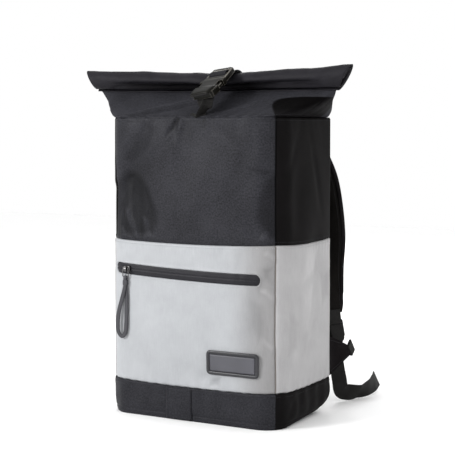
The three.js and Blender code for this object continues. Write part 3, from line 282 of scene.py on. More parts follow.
def cloth_slack(across, up):
    """Soft unevenness of cloth that isn't stretched."""
    dark = smooth(up - seam_height("band", across), -1, 3)
    on_front = 1 - smooth(np.abs(across), SEAM_AT - 22, SEAM_AT - 4)
    slack = soft_noise(across, up * 0.5, 30, 11) + 0.45 * soft_noise(across, up * 0.7, 13, 13)
    return mix(0.4, mix(0.25, 0.75, on_front), dark) * slack


def body_skin(across, up, depth=0.0, fine=True):
    """Points on the body's cloth; depth goes into the bag."""
    x, y, out_x, out_y = outline_at(across)
    out = main_relief(across, up) - depth
    if fine:
        out = out + small_folds(across, up) + cloth_slack(across, up)
    up = np.broadcast_to(up, np.broadcast(across, up).shape)
    return np.stack([x + out_x * out, y + out_y * out, up], -1)


def zip_height(across):
    part = (ZIP_RIGHT - across) / (ZIP_RIGHT - ZIP_LEFT)
    return ZIP_UP + ZIP_RISE * part * part


def zip_distance(across, up):
    """Distance outside the zip's rounded slot; negative inside it."""
    middle = (ZIP_LEFT + ZIP_RIGHT) / 2
    straight = (ZIP_RIGHT - ZIP_LEFT) / 2 - ZIP_HALF
    beyond = np.maximum(np.abs(across - middle) - straight, 0)
    return np.hypot(beyond, up - zip_height(across)) - ZIP_HALF


# Meshes

# Points closer than this, in metres, are one
SAME_POINT = 1e-6


def link(name, mesh):
    obj = bpy.data.objects.new(name, mesh)
    scene.collection.objects.link(obj)
    return obj


def grid_faces(rows, columns, around=False):
    index = np.arange(rows * columns).reshape(rows, columns)
    if around:
        index = np.hstack([index, index[:, :1]])
    corners = [index[:-1, :-1], index[:-1, 1:], index[1:, 1:], index[1:, :-1]]
    return np.stack(corners, -1).reshape(-1, 4).tolist()


def mesh_object(name, points, faces, uv=None, tones=None):
    """A smooth object from points and cloth coordinates in millimetres; tones are named values per point."""
    mesh = bpy.data.meshes.new(name)
    mesh.from_pydata((np.asarray(points).reshape(-1, 3) * MM).tolist(), [], faces)
    if uv is not None:
        layer = mesh.uv_layers.new(name="cloth")
        corner = np.empty(len(mesh.loops), dtype=np.int64)
        mesh.loops.foreach_get("vertex_index", corner)
        layer.data.foreach_set("uv", (np.asarray(uv).reshape(-1, 2)[corner] * MM).ravel())
    for key, values in (tones or {}).items():
        tone = mesh.attributes.new(key, "FLOAT", "POINT")
        tone.data.foreach_set("value", np.asarray(values, dtype=np.float32).ravel())
    mesh.polygons.foreach_set("use_smooth", np.ones(len(mesh.polygons), dtype=bool))
    mesh.update()
    return link(name, mesh)


def settle(obj):
    """Turns an object with modifiers into a plain mesh."""
    evaluated = obj.evaluated_get(bpy.context.evaluated_depsgraph_get())
    mesh = bpy.data.meshes.new_from_object(evaluated)
    obj.modifiers.clear()
    old = obj.data
    obj.data = mesh
    bpy.data.meshes.remove(old)
    mesh.name = obj.name
    return obj


def thicken(obj, thick):
    """Gives a cloth sheet its thickness, towards its inner side."""
    wall = obj.modifiers.new("wall", "SOLIDIFY")
    wall.thickness = thick * MM
    wall.offset = -1
    return settle(obj)


def sheet_object(name, points, uv, thick, around=False, tones=None):
    rows, columns = points.shape[:2]
    obj = mesh_object(name, points, grid_faces(rows, columns, around), uv, tones)
    return thicken(obj, thick)


def face_outwards(obj, merge=None):
    """Turns a closed mesh's faces outwards, after merging points closer than merge, in metres."""
    body = bmesh.new()
    body.from_mesh(obj.data)
    if merge:
        bmesh.ops.remove_doubles(body, verts=body.verts, dist=merge)
    bmesh.ops.recalc_face_normals(body, faces=body.faces)
    if body.calc_volume(signed=True) < 0:
        bmesh.ops.reverse_faces(body, faces=body.faces)
    body.to_mesh(obj.data)
    body.free()
    return obj


def loft_object(name, rings, uv=None, closed=False):
    """A closed skin through rings, capped at both ends unless the rings close on themselves."""
    rings = np.asarray(rings, float)
    count, around = rings.shape[:2]
    if closed:
        rings = np.concatenate([rings, rings[:1]])
        uv = None if uv is None else np.concatenate([uv, uv[:1]])
    faces = grid_faces(len(rings), around, True)
    if not closed:
        faces.append(list(range(around))[::-1])
        faces.append(list(range((count - 1) * around, count * around)))
    return face_outwards(mesh_object(name, rings, faces, uv), SAME_POINT if closed else None)


def smooth_line(points, per_span):
    """Positions and directions along a smooth line through points."""
    points = np.asarray(points, float)
    ends = np.vstack([2 * points[0] - points[1], points, 2 * points[-1] - points[-2]])
    knots = np.linalg.norm(np.diff(ends, axis=0), axis=1) ** 0.5
    places, runs = [], []
    for k in range(len(points) - 1):
        before, start, stop, after = ends[k:k + 4]
        d0, d1, d2 = knots[k:k + 3]
        leave = d1 * ((start - before) / d0 - (stop - before) / (d0 + d1) + (stop - start) / d1)
        arrive = d1 * ((stop - start) / d1 - (after - start) / (d1 + d2) + (after - stop) / d2)
        last = k == len(points) - 2
        for step in range(per_span + (1 if last else 0)):
            t = step / per_span
            square = -3 * start + 3 * stop - 2 * leave - arrive
            cube = 2 * start - 2 * stop + leave + arrive
            places.append(start + leave * t + square * t * t + cube * t ** 3)
            runs.append(leave + 2 * square * t + 3 * cube * t * t)
    runs = np.array(runs)
    return np.array(places), runs / np.linalg.norm(runs, axis=1, keepdims=True)


def spread(values, per_span):
    """Row values repeated along a smooth line, straight between the rows."""
    values = np.asarray(values, float)
    place = np.linspace(0, len(values) - 1, (len(values) - 1) * per_span + 1)
    low = np.minimum(place.astype(int), len(values) - 2)
    part = place - low
    if values.ndim > 1:
        part = part[:, None]
    return mix(values[low], values[low + 1], part)


def square_to(across, runs):
    """Width directions made square to the line, and the directions out of the band."""
    across = across - runs * np.sum(across * runs, axis=1, keepdims=True)
    across = across / np.linalg.norm(across, axis=1, keepdims=True)
    out = np.cross(runs, across)
    return across, out / np.linalg.norm(out, axis=1, keepdims=True)


def band_profile(width, thick):
    """Section of a woven band: flat faces with rounded selvedges, as (across, out) rows."""
    half, deep = width / 2, thick / 2
    face = np.linspace(-1, 1, 9) * (half - 0.7 * deep)
    turn = np.radians([60, 20, -20, -60])
    edge = np.stack([half - 0.7 * deep + 0.7 * deep * np.cos(turn), deep * np.sin(turn)], 1)
    top = np.stack([face, np.full(9, deep)], 1)
    return np.vstack([top, edge, -top, -edge])


def woven_band(name, rows, width, thick, per_span=8, sheared=False, pinch=None):
    """A band along rows of (point, width's direction); pinch folds it lengthwise, in degrees for each row."""
    places, runs = smooth_line([at for at, _ in rows], per_span)
    wanted = spread([wide for _, wide in rows], per_span)
    across, out = square_to(wanted, runs)
    if sheared:
        across = wanted
    profile = band_profile(width, thick)
    fold = np.radians(spread(pinch or [0] * len(rows), per_span))[:, None, None]
    aside = profile[:, :1] * np.cos(fold)
    behind = profile[:, 1:] + np.abs(profile[:, :1]) * np.sin(fold)
    rings = places[:, None] + across[:, None] * aside + out[:, None] * behind
    along = np.concatenate([[0], np.cumsum(np.linalg.norm(np.diff(places, axis=0), axis=1))])
    wide = np.broadcast_to(profile[:, 0], (len(along), len(profile)))
    uv = np.stack([wide, np.broadcast_to(along[:, None], wide.shape)], -1)
    return loft_object(name, rings, uv), places, across, out


def rounded_loop(corners, arc):
    """Closed loop through rounded corners; each corner is (x, y, radius, steps of the straight after it)."""
    arcs = []
    for quarter, (x, y, radius, _) in enumerate(corners):
        angle = math.pi / 2 * (quarter - 1 + np.linspace(0, 1, arc + 1))
        arcs.append(np.stack([x + radius * np.cos(angle), y + radius * np.sin(angle)], 1))
    loop = []
    for quarter, points in enumerate(arcs):
        steps = corners[quarter][3]
        part = np.arange(1, steps)[:, None] / steps
        loop += [points, mix(points[-1], arcs[(quarter + 1) % 4][0], part)]
    return np.vstack(loop)


def mirror_copy(obj, name):
    """The same piece on the other side of the bag."""
    mesh = obj.data.copy()
    mesh.name = name
    body = bmesh.new()
    body.from_mesh(mesh)
    for vert in body.verts:
        vert.co.x = -vert.co.x
    bmesh.ops.reverse_faces(body, faces=body.faces)
    body.to_mesh(mesh)
    body.free()
    return link(name, mesh)


# Materials

def linear(colour):
    """Linear colour from an sRGB hex value."""
    values = [int(colour[k:k + 2], 16) / 255 for k in (1, 3, 5)]
    return [v / 12.92 if v <= 0.04045 else ((v + 0.055) / 1.055) ** 2.4 for v in values] + [1.0]


def add_node(tree, kind, settings=None, links=None):
    """Adds a node with its settings and its links."""
    node = tree.nodes.new(kind)
    for key, value in (settings or {}).items():
        if isinstance(key, str) and hasattr(node, key):
            setattr(node, key, value)
        else:
            node.inputs[key].default_value = value
    for key, source in (links or {}).items():
        tree.links.new(source, node.inputs[key])
    return node


def new_material(name, roughness, metallic=0.0, sheen=0.0, specular=0.5):
    material = bpy.data.materials.new(name)
    material.use_nodes = True
    tree = material.node_tree
    shader = next(node for node in tree.nodes if node.type == "BSDF_PRINCIPLED")
    shader.inputs["Roughness"].default_value = roughness
    shader.inputs["Metallic"].default_value = metallic
    shader.inputs["Sheen Weight"].default_value = sheen
    shader.inputs["Specular IOR Level"].default_value = specular
    return material, tree, shader


# Blender's band wave repeats every 0.314 of a unit at scale 1
WAVE_UNIT = 2 * math.pi / 20
# Patterns are set out in millimetres, on coordinates that are in metres
PER_METRE = (1000, 1000, 1000)


def cloth_material(name, light, dark, thread, bump, roughness, specular, blotch, sheen=0.0, source="UV",
                   streak=0.0, fleck=0.4, fold_gain=1.0, blotchy=1.0):
    """Woven cloth: crossing threads in relief, blotched and flecked colour, and painted light and shade along
    its folds from the fold_shade tone.

    thread and blotch are pattern sizes in millimetres; streak, fleck, blotchy and fold_gain weigh the colour.
    """
    material, tree, shader = new_material(name, roughness, sheen=sheen, specular=specular)
    coords = add_node(tree, "ShaderNodeTexCoord")
    in_mm = add_node(tree, "ShaderNodeMapping", {"Scale": PER_METRE}, {"Vector": coords.outputs[source]})
    place = in_mm.outputs["Vector"]
    warp = add_node(tree, "ShaderNodeTexWave", {
        "bands_direction": "X", "Scale": WAVE_UNIT / thread, "Distortion": 0.6, "Detail Scale": 0.4,
    }, {"Vector": place})
    weft = add_node(tree, "ShaderNodeTexWave", {
        "bands_direction": "Y" if source == "UV" else "Z", "Scale": WAVE_UNIT / thread, "Distortion": 0.6,
        "Detail Scale": 0.4,
    }, {"Vector": place})
    weave = add_node(tree, "ShaderNodeMath", {"operation": "MAXIMUM"},
                     {0: warp.outputs["Fac"], 1: weft.outputs["Fac"]})
    grain = add_node(tree, "ShaderNodeTexNoise", {"Scale": 0.6 / thread, "Detail": 3.0, "Roughness": 0.7},
                     {"Vector": place})
    patch = add_node(tree, "ShaderNodeTexNoise", {"Scale": 1 / blotch, "Detail": 4.0, "Roughness": 0.55},
                     {"Vector": place})
    patch = add_node(tree, "ShaderNodeMath", {"operation": "MULTIPLY_ADD", 1: blotchy, 2: 0.5 - blotchy / 2},
                     {0: patch.outputs["Fac"]})
    stretched = add_node(tree, "ShaderNodeMapping", {"Scale": (0.5, 0.06, 0.06)}, {"Vector": place})
    streaks = add_node(tree, "ShaderNodeTexNoise", {"Scale": 1.0, "Detail": 2.0},
                       {"Vector": stretched.outputs["Vector"]})
    tone = add_node(tree, "ShaderNodeMath", {"operation": "MULTIPLY_ADD", 1: 0.35},
                    {0: weave.outputs["Value"], 2: patch.outputs["Value"]})
    tone = add_node(tree, "ShaderNodeMath", {"operation": "MULTIPLY_ADD", 1: fleck},
                    {0: grain.outputs["Fac"], 2: tone.outputs["Value"]})
    tone = add_node(tree, "ShaderNodeMath", {"operation": "MULTIPLY_ADD", 1: streak},
                    {0: streaks.outputs["Fac"], 2: tone.outputs["Value"]})
    ramp = add_node(tree, "ShaderNodeMapRange", {
        "From Min": 0.45 + fleck * 0.5, "From Max": 1.05 + (fleck + streak) * 0.5,
    }, {"Value": tone.outputs["Value"]})
    colour = add_node(tree, "ShaderNodeMix", {"data_type": "RGBA", 6: linear(dark), 7: linear(light)},
                      {0: ramp.outputs["Result"]})
    height = add_node(tree, "ShaderNodeMath", {"operation": "MULTIPLY_ADD", 1: 0.6},
                      {0: grain.outputs["Fac"], 2: weave.outputs["Value"]})
    relief = add_node(tree, "ShaderNodeBump", {"Strength": bump, "Distance": 0.25 * MM},
                      {"Height": height.outputs["Value"]})
    # Painted light and shade: the fold_shade tone lightens or darkens the colour along the folds
    folds = add_node(tree, "ShaderNodeAttribute", {"attribute_name": "fold_shade"})
    depth = add_node(tree, "ShaderNodeMath", {"operation": "MULTIPLY_ADD", 1: fold_gain, 2: 1.0},
                     {0: folds.outputs["Fac"]})
    shaded = add_node(tree, "ShaderNodeHueSaturation",
                      links={"Value": depth.outputs["Value"], "Color": colour.outputs[2]})
    tree.links.new(shaded.outputs["Color"], shader.inputs["Base Color"])
    tree.links.new(relief.outputs["Normal"], shader.inputs["Normal"])
    return material


def tint_part(material, colour, ramps):
    """Tints a cloth where every ramp is up; a ramp is (axis in mm or a named value, none at, full at)."""
    tree = material.node_tree
    shader = next(node for node in tree.nodes if node.type == "BSDF_PRINCIPLED")
    base = shader.inputs["Base Color"].links[0].from_socket
    coords = add_node(tree, "ShaderNodeTexCoord")
    place = add_node(tree, "ShaderNodeSeparateXYZ", links={"Vector": coords.outputs["UV"]})
    amount = None
    for axis, none, full in ramps:
        if axis in ("X", "Y"):
            value, unit_size = place.outputs[axis], MM
        else:
            named = add_node(tree, "ShaderNodeAttribute", {"attribute_name": axis})
            value, unit_size = named.outputs["Fac"], 1
        ramp = add_node(tree, "ShaderNodeMapRange", {
            "interpolation_type": "SMOOTHSTEP", "From Min": none * unit_size, "From Max": full * unit_size,
        }, {"Value": value})
        if amount is None:
            amount = ramp.outputs["Result"]
        else:
            both = add_node(tree, "ShaderNodeMath", {"operation": "MULTIPLY"},
                            {0: amount, 1: ramp.outputs["Result"]})
            amount = both.outputs["Value"]
    tinted = add_node(tree, "ShaderNodeMix", {
        "data_type": "RGBA", "blend_type": "MULTIPLY", 7: linear(colour),
    }, {0: amount, 6: base})
    tree.links.new(tinted.outputs[2], shader.inputs["Base Color"])


def moulded_material(name, light, dark, grain, bump, roughness, metallic=0.0, wear=30, specular=0.5):
    """A moulded, cast or tanned surface: fine grain in relief, uneven colour and gloss."""
    material, tree, shader = new_material(name, roughness, metallic, specular=specular)
    coords = add_node(tree, "ShaderNodeTexCoord")
    in_mm = add_node(tree, "ShaderNodeMapping", {"Scale": PER_METRE}, {"Vector": coords.outputs["Object"]})
    place = in_mm.outputs["Vector"]
    cells = add_node(tree, "ShaderNodeTexVoronoi", {"Scale": 1 / grain}, {"Vector": place})
    fine = add_node(tree, "ShaderNodeTexNoise", {"Scale": 2 / grain, "Detail": 3.0}, {"Vector": place})
    patch = add_node(tree, "ShaderNodeTexNoise", {"Scale": 1 / wear, "Detail": 5.0}, {"Vector": place})
    colour = add_node(tree, "ShaderNodeMix", {"data_type": "RGBA", 6: linear(dark), 7: linear(light)},
                      {0: patch.outputs["Fac"]})
    gloss = add_node(tree, "ShaderNodeMapRange", {"To Min": roughness - 0.08, "To Max": roughness + 0.1},
                     {"Value": fine.outputs["Fac"]})
    height = add_node(tree, "ShaderNodeMath", {"operation": "MULTIPLY_ADD", 1: 0.5},
                      {0: fine.outputs["Fac"], 2: cells.outputs["Distance"]})
    relief = add_node(tree, "ShaderNodeBump", {"Strength": bump, "Distance": 0.2 * MM},
                      {"Height": height.outputs["Value"]})
    tree.links.new(colour.outputs[2], shader.inputs["Base Color"])
    tree.links.new(gloss.outputs["Result"], shader.inputs["Roughness"])
    tree.links.new(relief.outputs["Normal"], shader.inputs["Normal"])
    return material


# Plain-woven polyester with a thin coating: charcoal with a cool sheen, threads drawn coarse enough to show
DARK_CLOTH = cloth_material(
    "woven_polyester_charcoal", "#35353a", "#171719", thread=1.5, bump=0.35, roughness=0.42, specular=0.06,
    blotch=50, fleck=1.2, blotchy=0.4)
# The rolled mouth shows the cloth's coated inside: the same weave, darker
ROLL_CLOTH = cloth_material(
    "coated_polyester_roll", "#28272b", "#1a191c", thread=1.5, bump=0.3, roughness=0.45, specular=0.05,
    blotch=50)
# Painted shade on its tucked-under lower half, fading towards the ends
tint_part(ROLL_CLOTH, "#8c8a8a", [("Y", 60, 66), ("Y", 81, 78), ("X", -200, -110), ("X", 150, 50)])
# The same cloth painted nearly black on the sides as painted shade, and duller
SHADED_SIDE_CLOTH = cloth_material(
    "woven_polyester_black_painted_shade", "#121011", "#0a0909", thread=1.5, bump=0.3, roughness=0.6, specular=0.04,
    blotch=50)
# The neck: the front's cloth, a little lighter and duller
NECK_CLOTH = cloth_material(
    "woven_polyester_charcoal_neck", "#3b3b40", "#1b1b1d", thread=1.5, bump=0.35, roughness=0.62,
    specular=0.015, blotch=50, fleck=1.0, blotchy=0.4)
# Its gussets are painted near black, partly the black cloth and partly painted shade of their recess, with
# more painted shade high under the roll and away from the neck's end
tint_part(NECK_CLOTH, "#837e7a", [("gusset", -0.02, 0.02)])
tint_part(NECK_CLOTH, "#a4a2a0", [("gusset", -0.02, 0.02), ("X", 200, 174), ("Y", 8, 30)])
# Light grey coated reflective cloth: smooth, faintly blotched and streaked by handling
GREY_CLOTH = cloth_material(
    "coated_reflective_cloth_grey", "#a3a5a8", "#929497", thread=1.3, bump=0.12, roughness=0.5, specular=0.25,
    blotch=38, streak=0.5, fold_gain=0.28)
# Painted shade: darker and warmer towards the right-hand corner seam, where the cloth turns away from the
# light
tint_part(GREY_CLOTH, "#dad6d3", [("X", 58, 124)])
# The same cloth on the sides, a shade warmer
GREY_SIDE = cloth_material(
    "coated_reflective_cloth_side", "#a7a6a7", "#959495", thread=1.3, bump=0.12, roughness=0.5, specular=0.25,
    blotch=38, streak=0.5, fold_gain=0.28)
# Matte spacer cloth over foam: near black with an open, knobbly face
PADDED_CLOTH = cloth_material(
    "knitted_spacer_cloth_black", "#1b1918", "#0f0e0d", thread=2.0, bump=0.5, roughness=0.85, specular=0.03,
    blotch=40, source="Object")
# The same spacer cloth on the back panel, charcoal
BACK_CLOTH = cloth_material(
    "knitted_spacer_cloth_charcoal", "#3a3a3d", "#232325", thread=2.0, bump=0.5, roughness=0.8, specular=0.1,
    blotch=40, source="Object")
# Woven polyester webbing: ribbed across, matte black
WEBBING = cloth_material(
    "ribbed_polyester_webbing", "#1c1b1a", "#0c0b0b", thread=1.9, bump=0.6, roughness=0.7, specular=0.1,
    blotch=25, sheen=0.05)
# Charcoal webbing of the top closure, close to the cloth's own colour
TOP_WEBBING = cloth_material(
    "ribbed_polyester_webbing_charcoal", "#232327", "#141416", thread=1.9, bump=0.5, roughness=0.62,
    specular=0.1, blotch=25)
# Folded cloth tab, a little lighter than the webbing
TAB_CLOTH = cloth_material(
    "woven_polyester_tab", "#201e1f", "#141213", thread=1.5, bump=0.4, roughness=0.62, specular=0.0,
    blotch=30, source="Object")
# Coated zip tape: rubbery satin film over fine coils
ZIP_TAPE = moulded_material(
    "coated_zip_tape", "#26252a", "#19191c", grain=0.9, bump=0.25, roughness=0.45, specular=0.15)
# Coils under the film, lighter than the tape
ZIP_COIL = moulded_material(
    "coated_zip_coil", "#47464c", "#343338", grain=0.9, bump=0.2, roughness=0.4, specular=0.25)
# Plated die-cast zinc: dark, polished on the edges by use
ZIP_METAL = moulded_material(
    "plated_zinc_dark", "#757474", "#403f40", grain=0.6, bump=0.08, roughness=0.3, metallic=1.0, wear=6)
# Smooth split leather with a fine pressed grain, dark grey
LEATHER = moulded_material(
    "pressed_grain_leather_grey", "#3c3c41", "#28282c", grain=0.7, bump=0.3, roughness=0.48, specular=0.35)
# Moulded thermoplastic rubber with a fine stipple
RUBBER = moulded_material(
    "moulded_rubber_grey", "#525258", "#444449", grain=0.8, bump=0.2, roughness=0.42, specular=0.3)
# The same rubber on the rim, darker and glossier
RIM_RUBBER = moulded_material(
    "moulded_rubber_dark", "#2b2b2f", "#202023", grain=0.8, bump=0.15, roughness=0.34, specular=0.4)
# Moulded acetal: near black with an olive tinge and a satin gloss
BUCKLE_PLASTIC = moulded_material(
    "moulded_acetal_black", "#14130f", "#0b0a07", grain=0.5, bump=0.06, roughness=0.32, specular=0.1)
# The same acetal painted light along its edges as a painted highlight, and smoother there
BUCKLE_EDGE_HIGHLIGHT = moulded_material(
    "moulded_acetal_painted_highlight", "#76726a", "#4e4b45", grain=0.5, bump=0.04, roughness=0.25, specular=0.4)
# Bonded polyester thread: dull and twisted, in each cloth's own colour
DARK_THREAD = moulded_material(
    "bonded_thread_charcoal", "#2a2a2e", "#1a1a1d", grain=0.4, bump=0.3, roughness=0.6, specular=0.2)
GREY_THREAD = moulded_material(
    "bonded_thread_grey", "#a3a5a8", "#8e9093", grain=0.4, bump=0.3, roughness=0.6, specular=0.2)
# Raw edge of the grey cloth pressed into its corner seam, brownish
SEAM_EDGE = moulded_material(
    "cut_cloth_edge_brown", "#7c746d", "#645d57", grain=0.4, bump=0.3, roughness=0.7, specular=0.1)
# The dark cloth's edge in the same seam, painted black as the seam's shadow
SEAM_SHADOW_EDGE = moulded_material(
    "cut_cloth_edge_black", "#0c0c0d", "#070707", grain=0.4, bump=0.3, roughness=0.8, specular=0.05)


def finish_piece(obj, material, slot, *nodes):
    """Gives a piece its material and its place in the assembly."""
    obj.data.materials.clear()
    obj.data.materials.append(material)
    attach(obj, "root")
    if nodes:
        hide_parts(*nodes)
    return obj


def side_faces(obj, material):
    """Puts the side cloth, painted darker as shade, on the faces beyond the upright corner seams."""
    obj.data.materials.append(material)
    corner = (FLAT_END + FRONT + CORNER) * MM
    for polygon in obj.data.polygons:
        x, y, _ = polygon.center
        if abs(x) + y > corner:
            polygon.material_index = 1


# Stitches and zip coils follow paths; one node tree sets them out

def path_beads_tree():
    tree = bpy.data.node_groups.new("beads_along_paths", "GeometryNodeTree")
    wanted = [
        ("Paths", "INPUT", "NodeSocketGeometry"),
        ("Pitch", "INPUT", "NodeSocketFloat"),
        ("Bead size", "INPUT", "NodeSocketVector"),
        ("Finish", "INPUT", "NodeSocketMaterial"),
        ("Beads", "OUTPUT", "NodeSocketGeometry"),
    ]
    for name, way, kind in wanted:
        tree.interface.new_socket(name=name, in_out=way, socket_type=kind)
    start = add_node(tree, "NodeGroupInput")
    lines = add_node(tree, "GeometryNodeMeshToCurve", links={"Mesh": start.outputs["Paths"]})
    points = add_node(tree, "GeometryNodeCurveToPoints", {"mode": "LENGTH"},
                      {"Curve": lines.outputs["Curve"], "Length": start.outputs["Pitch"]})
    turned = add_node(tree, "FunctionNodeAlignRotationToVector", {"axis": "X"},
                      {"Vector": points.outputs["Tangent"]})
    bead = add_node(tree, "GeometryNodeMeshUVSphere", {"Segments": 6, "Rings": 4, "Radius": 1.0})
    placed = add_node(tree, "GeometryNodeInstanceOnPoints", links={
        "Points": points.outputs["Points"], "Instance": bead.outputs["Mesh"],
        "Rotation": turned.outputs["Rotation"], "Scale": start.outputs["Bead size"],
    })
    real = add_node(tree, "GeometryNodeRealizeInstances", links={"Geometry": placed.outputs["Instances"]})
    rounded = add_node(tree, "GeometryNodeSetShadeSmooth", links={"Geometry": real.outputs["Geometry"]})
    painted = add_node(tree, "GeometryNodeSetMaterial",
                       links={"Geometry": rounded.outputs["Geometry"], "Material": start.outputs["Finish"]})
    end = add_node(tree, "NodeGroupOutput")
    tree.links.new(painted.outputs["Geometry"], end.inputs["Beads"])
    return tree


BEADS = path_beads_tree()


def beads_on_paths(name, paths, pitch, size, material):
    """Stitches or coils along paths in millimetres; size is half length, half width, half height."""
    points = np.vstack(paths)
    edges, first = [], 0
    for path in paths:
        edges += [(first + k, first + k + 1) for k in range(len(path) - 1)]
        first += len(path)
    mesh = bpy.data.meshes.new(name)
    mesh.from_pydata((points * MM).tolist(), edges, [])
    obj = link(name, mesh)
    modifier = obj.modifiers.new("beads", "NODES")
    modifier.node_group = BEADS
    values = {"Pitch": pitch * MM, "Bead size": [v * MM for v in size], "Finish": material}
    for item in BEADS.interface.items_tree:
        if item.name in values:
            modifier[item.identifier] = values[item.name]
    settle(obj)
    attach(obj, "root")
    return obj


STITCH = (1.15, 0.32, 0.32)
STITCH_PITCH = 3.3
# Closer stitches on webbing and tabs
FINE_PITCH = STITCH_PITCH * 0.8


# Body cloth

def edge_tuck(reach, depth, *distances):
    """Depth by which a panel's edge turns into its seam."""
    near = np.minimum.reduce(np.broadcast_arrays(*distances))
    part = 1 - share(near, 0, reach)
    return depth * (1 - np.sqrt(np.maximum(1 - part * part, 0)))


def stations(stops):
    """Places from stop to stop; each stop is (place, step of the run up to it)."""
    places = [np.array([stops[0][0]])]
    for (start, _), (stop, step) in zip(stops, stops[1:]):
        count = max(round((stop - start) / step), 1)
        places.append(np.linspace(start, stop, count + 1)[1:])
    return np.concatenate(places)


# Painted light and shade: how much slopes to the right and upwards and a millimetre of height lighten the
# cloth, and the most they do
SHADE_RIGHT, SHADE_UP, SHADE_HEIGHT, SHADE_MOST = 0.5, 0.5, 0.012, 0.65


def fold_shade(across, up, height):
    """Painted light and shade of the cloth's folds: slopes to the right and upwards and ridges lighter,
    hollows darker.
    """
    slope_right = -np.gradient(height, axis=1) / np.gradient(across, axis=1)
    slope_up = -np.gradient(height, axis=0) / np.gradient(up, axis=0)
    return SHADE_RIGHT * slope_right + SHADE_UP * slope_up + SHADE_HEIGHT * height


def panel_shade(across, up):
    """Painted light and shade of all dents, creases and facets over the filled body."""
    height = small_folds(across, up) - sum(fold_depth(fold, across, up) for fold in FOLDS)
    return np.clip(fold_shade(across, up, height) + facet_tone(across, up), -SHADE_MOST, SHADE_MOST)


# The pocket panel is finer near its zip: step, reach above and below the zip, rows under and over that reach
ZIP_STEP, ZIP_REACH, ROWS_UNDER_ZIP, ROWS_OVER_ZIP = 0.8, 11, 62, 17


def body_panel(name, side, low, high):
    """One cloth panel of the body between two levels: side is -1 left, 0 front, 1 right."""
    has_zip = side == 0 and low == "boot"
    if has_zip:
        across = stations([
            (-SEAM_AT, 0), (ZIP_LEFT + 12, ZIP_STEP), (ZIP_RIGHT - 11, PANEL_STEP), (ZIP_RIGHT + 3, ZIP_STEP),
            (SEAM_AT, PANEL_STEP),
        ])
    elif side == 0:
        across = stations([(-SEAM_AT, 0), (SEAM_AT, PANEL_STEP)])
    elif side > 0:
        across = stations([(SEAM_AT, 0), (SIDE_END, PANEL_STEP)])
    else:
        across = stations([(-SIDE_END, 0), (-SEAM_AT, PANEL_STEP)])
    across[0] -= OVERLAP
    across[-1] += OVERLAP
    bottom = seam_height(low, across) - OVERLAP
    top = seam_height(high, across) + OVERLAP
    if has_zip:
        middle = zip_height(across)
        lower = [mix(bottom, middle - ZIP_REACH, k / ROWS_UNDER_ZIP) for k in range(ROWS_UNDER_ZIP)]
        around = [middle + t for t in np.arange(-ZIP_REACH, ZIP_REACH + 0.01, ZIP_STEP)]
        upper = [mix(middle + ZIP_REACH, top, (k + 1) / ROWS_OVER_ZIP) for k in range(ROWS_OVER_ZIP)]
        up = np.array(lower + around + upper)
    else:
        rows = round((LEVEL[high] - LEVEL[low]) / PANEL_STEP)
        up = np.array([mix(bottom, top, k / rows) for k in range(rows + 1)])
    across = np.broadcast_to(across, up.shape)
    depth = edge_tuck(3.2, 1.7, up - bottom, top - up)
    depth = depth + edge_tuck(1.8, 0.9, across - across[:, :1], across[:, -1:] - across)
    if has_zip:
        away = zip_distance(across, up)
        lip = 0.55 * bell((away - 1.5) / 1.2)
        depth = depth + 3.2 * (1 - smooth(away, -0.9, 0.7)) - lip
    points = body_skin(across, up, depth)
    uv = np.stack([across, up], -1)
    # The fold_shade tone is painted light and shade
    return sheet_object(name, points, uv, PANEL_THICK, tones={"fold_shade": panel_shade(across, up)})


# The upper side panels' cloth is painted darker as shade
PANELS = [
    ("pocket_front_panel", 0, "boot", "band", GREY_CLOTH),
    ("grey_side_panel_left", -1, "boot", "band", GREY_SIDE),
    ("grey_side_panel_right", 1, "boot", "band", GREY_SIDE),
    ("upper_front_panel", 0, "band", "seam", DARK_CLOTH),
    ("upper_side_panel_left", -1, "band", "seam", SHADED_SIDE_CLOTH),
    ("upper_side_panel_right", 1, "band", "seam", SHADED_SIDE_CLOTH),
]
for node, side, low, high, cloth in PANELS:
    slot = "grey_cloth" if low == "boot" else "dark_cloth"
    finish_piece(body_panel(node + "_cloth", side, low, high), cloth, slot, node)

whole_way = np.linspace(-SIDE_END + 4, SIDE_END - 4, 420)
hem_path = body_skin(whole_way, seam_height("band", whole_way) - 4.2, -0.1)
beads_on_paths("band_hem_stitches", [hem_path], STITCH_PITCH, STITCH, GREY_THREAD)
top_path = body_skin(whole_way, LEVEL["seam"] - 4.6 + 0 * whole_way, -0.1)
band_path = body_skin(whole_way, seam_height("band", whole_way) + 4.4, -0.1)
beads_on_paths("upper_seam_stitches", [top_path, band_path], STITCH_PITCH, STITCH, DARK_THREAD)

# Cut edges in the upright corner seams
EDGE_PITCH = 1.3


def corner_edges(name, low, high, depth, size, material):
    up = np.linspace(low, high, 160)
    paths = [body_skin(np.full(len(up), side * SEAM_AT), up, depth) for side in (-1, 1)]
    beads_on_paths(name, paths, EDGE_PITCH, size, material)


corner_edges("corner_seam_edges", LEVEL["boot"] + 1, LEVEL["band"] - 3, 0.45, (1.0, 0.5, 0.5),
             SEAM_EDGE)
# On the upper cloth the seam's edge is painted black as its shadow
corner_edges("upper_corner_shadow_edges", LEVEL["band"] + 1, LEVEL["seam"] - 1, 0.3, (1.0, 0.6, 0.5),
             SEAM_SHADOW_EDGE)


# Base boot: tray of dark cloth, tight at the front and rounder towards the back

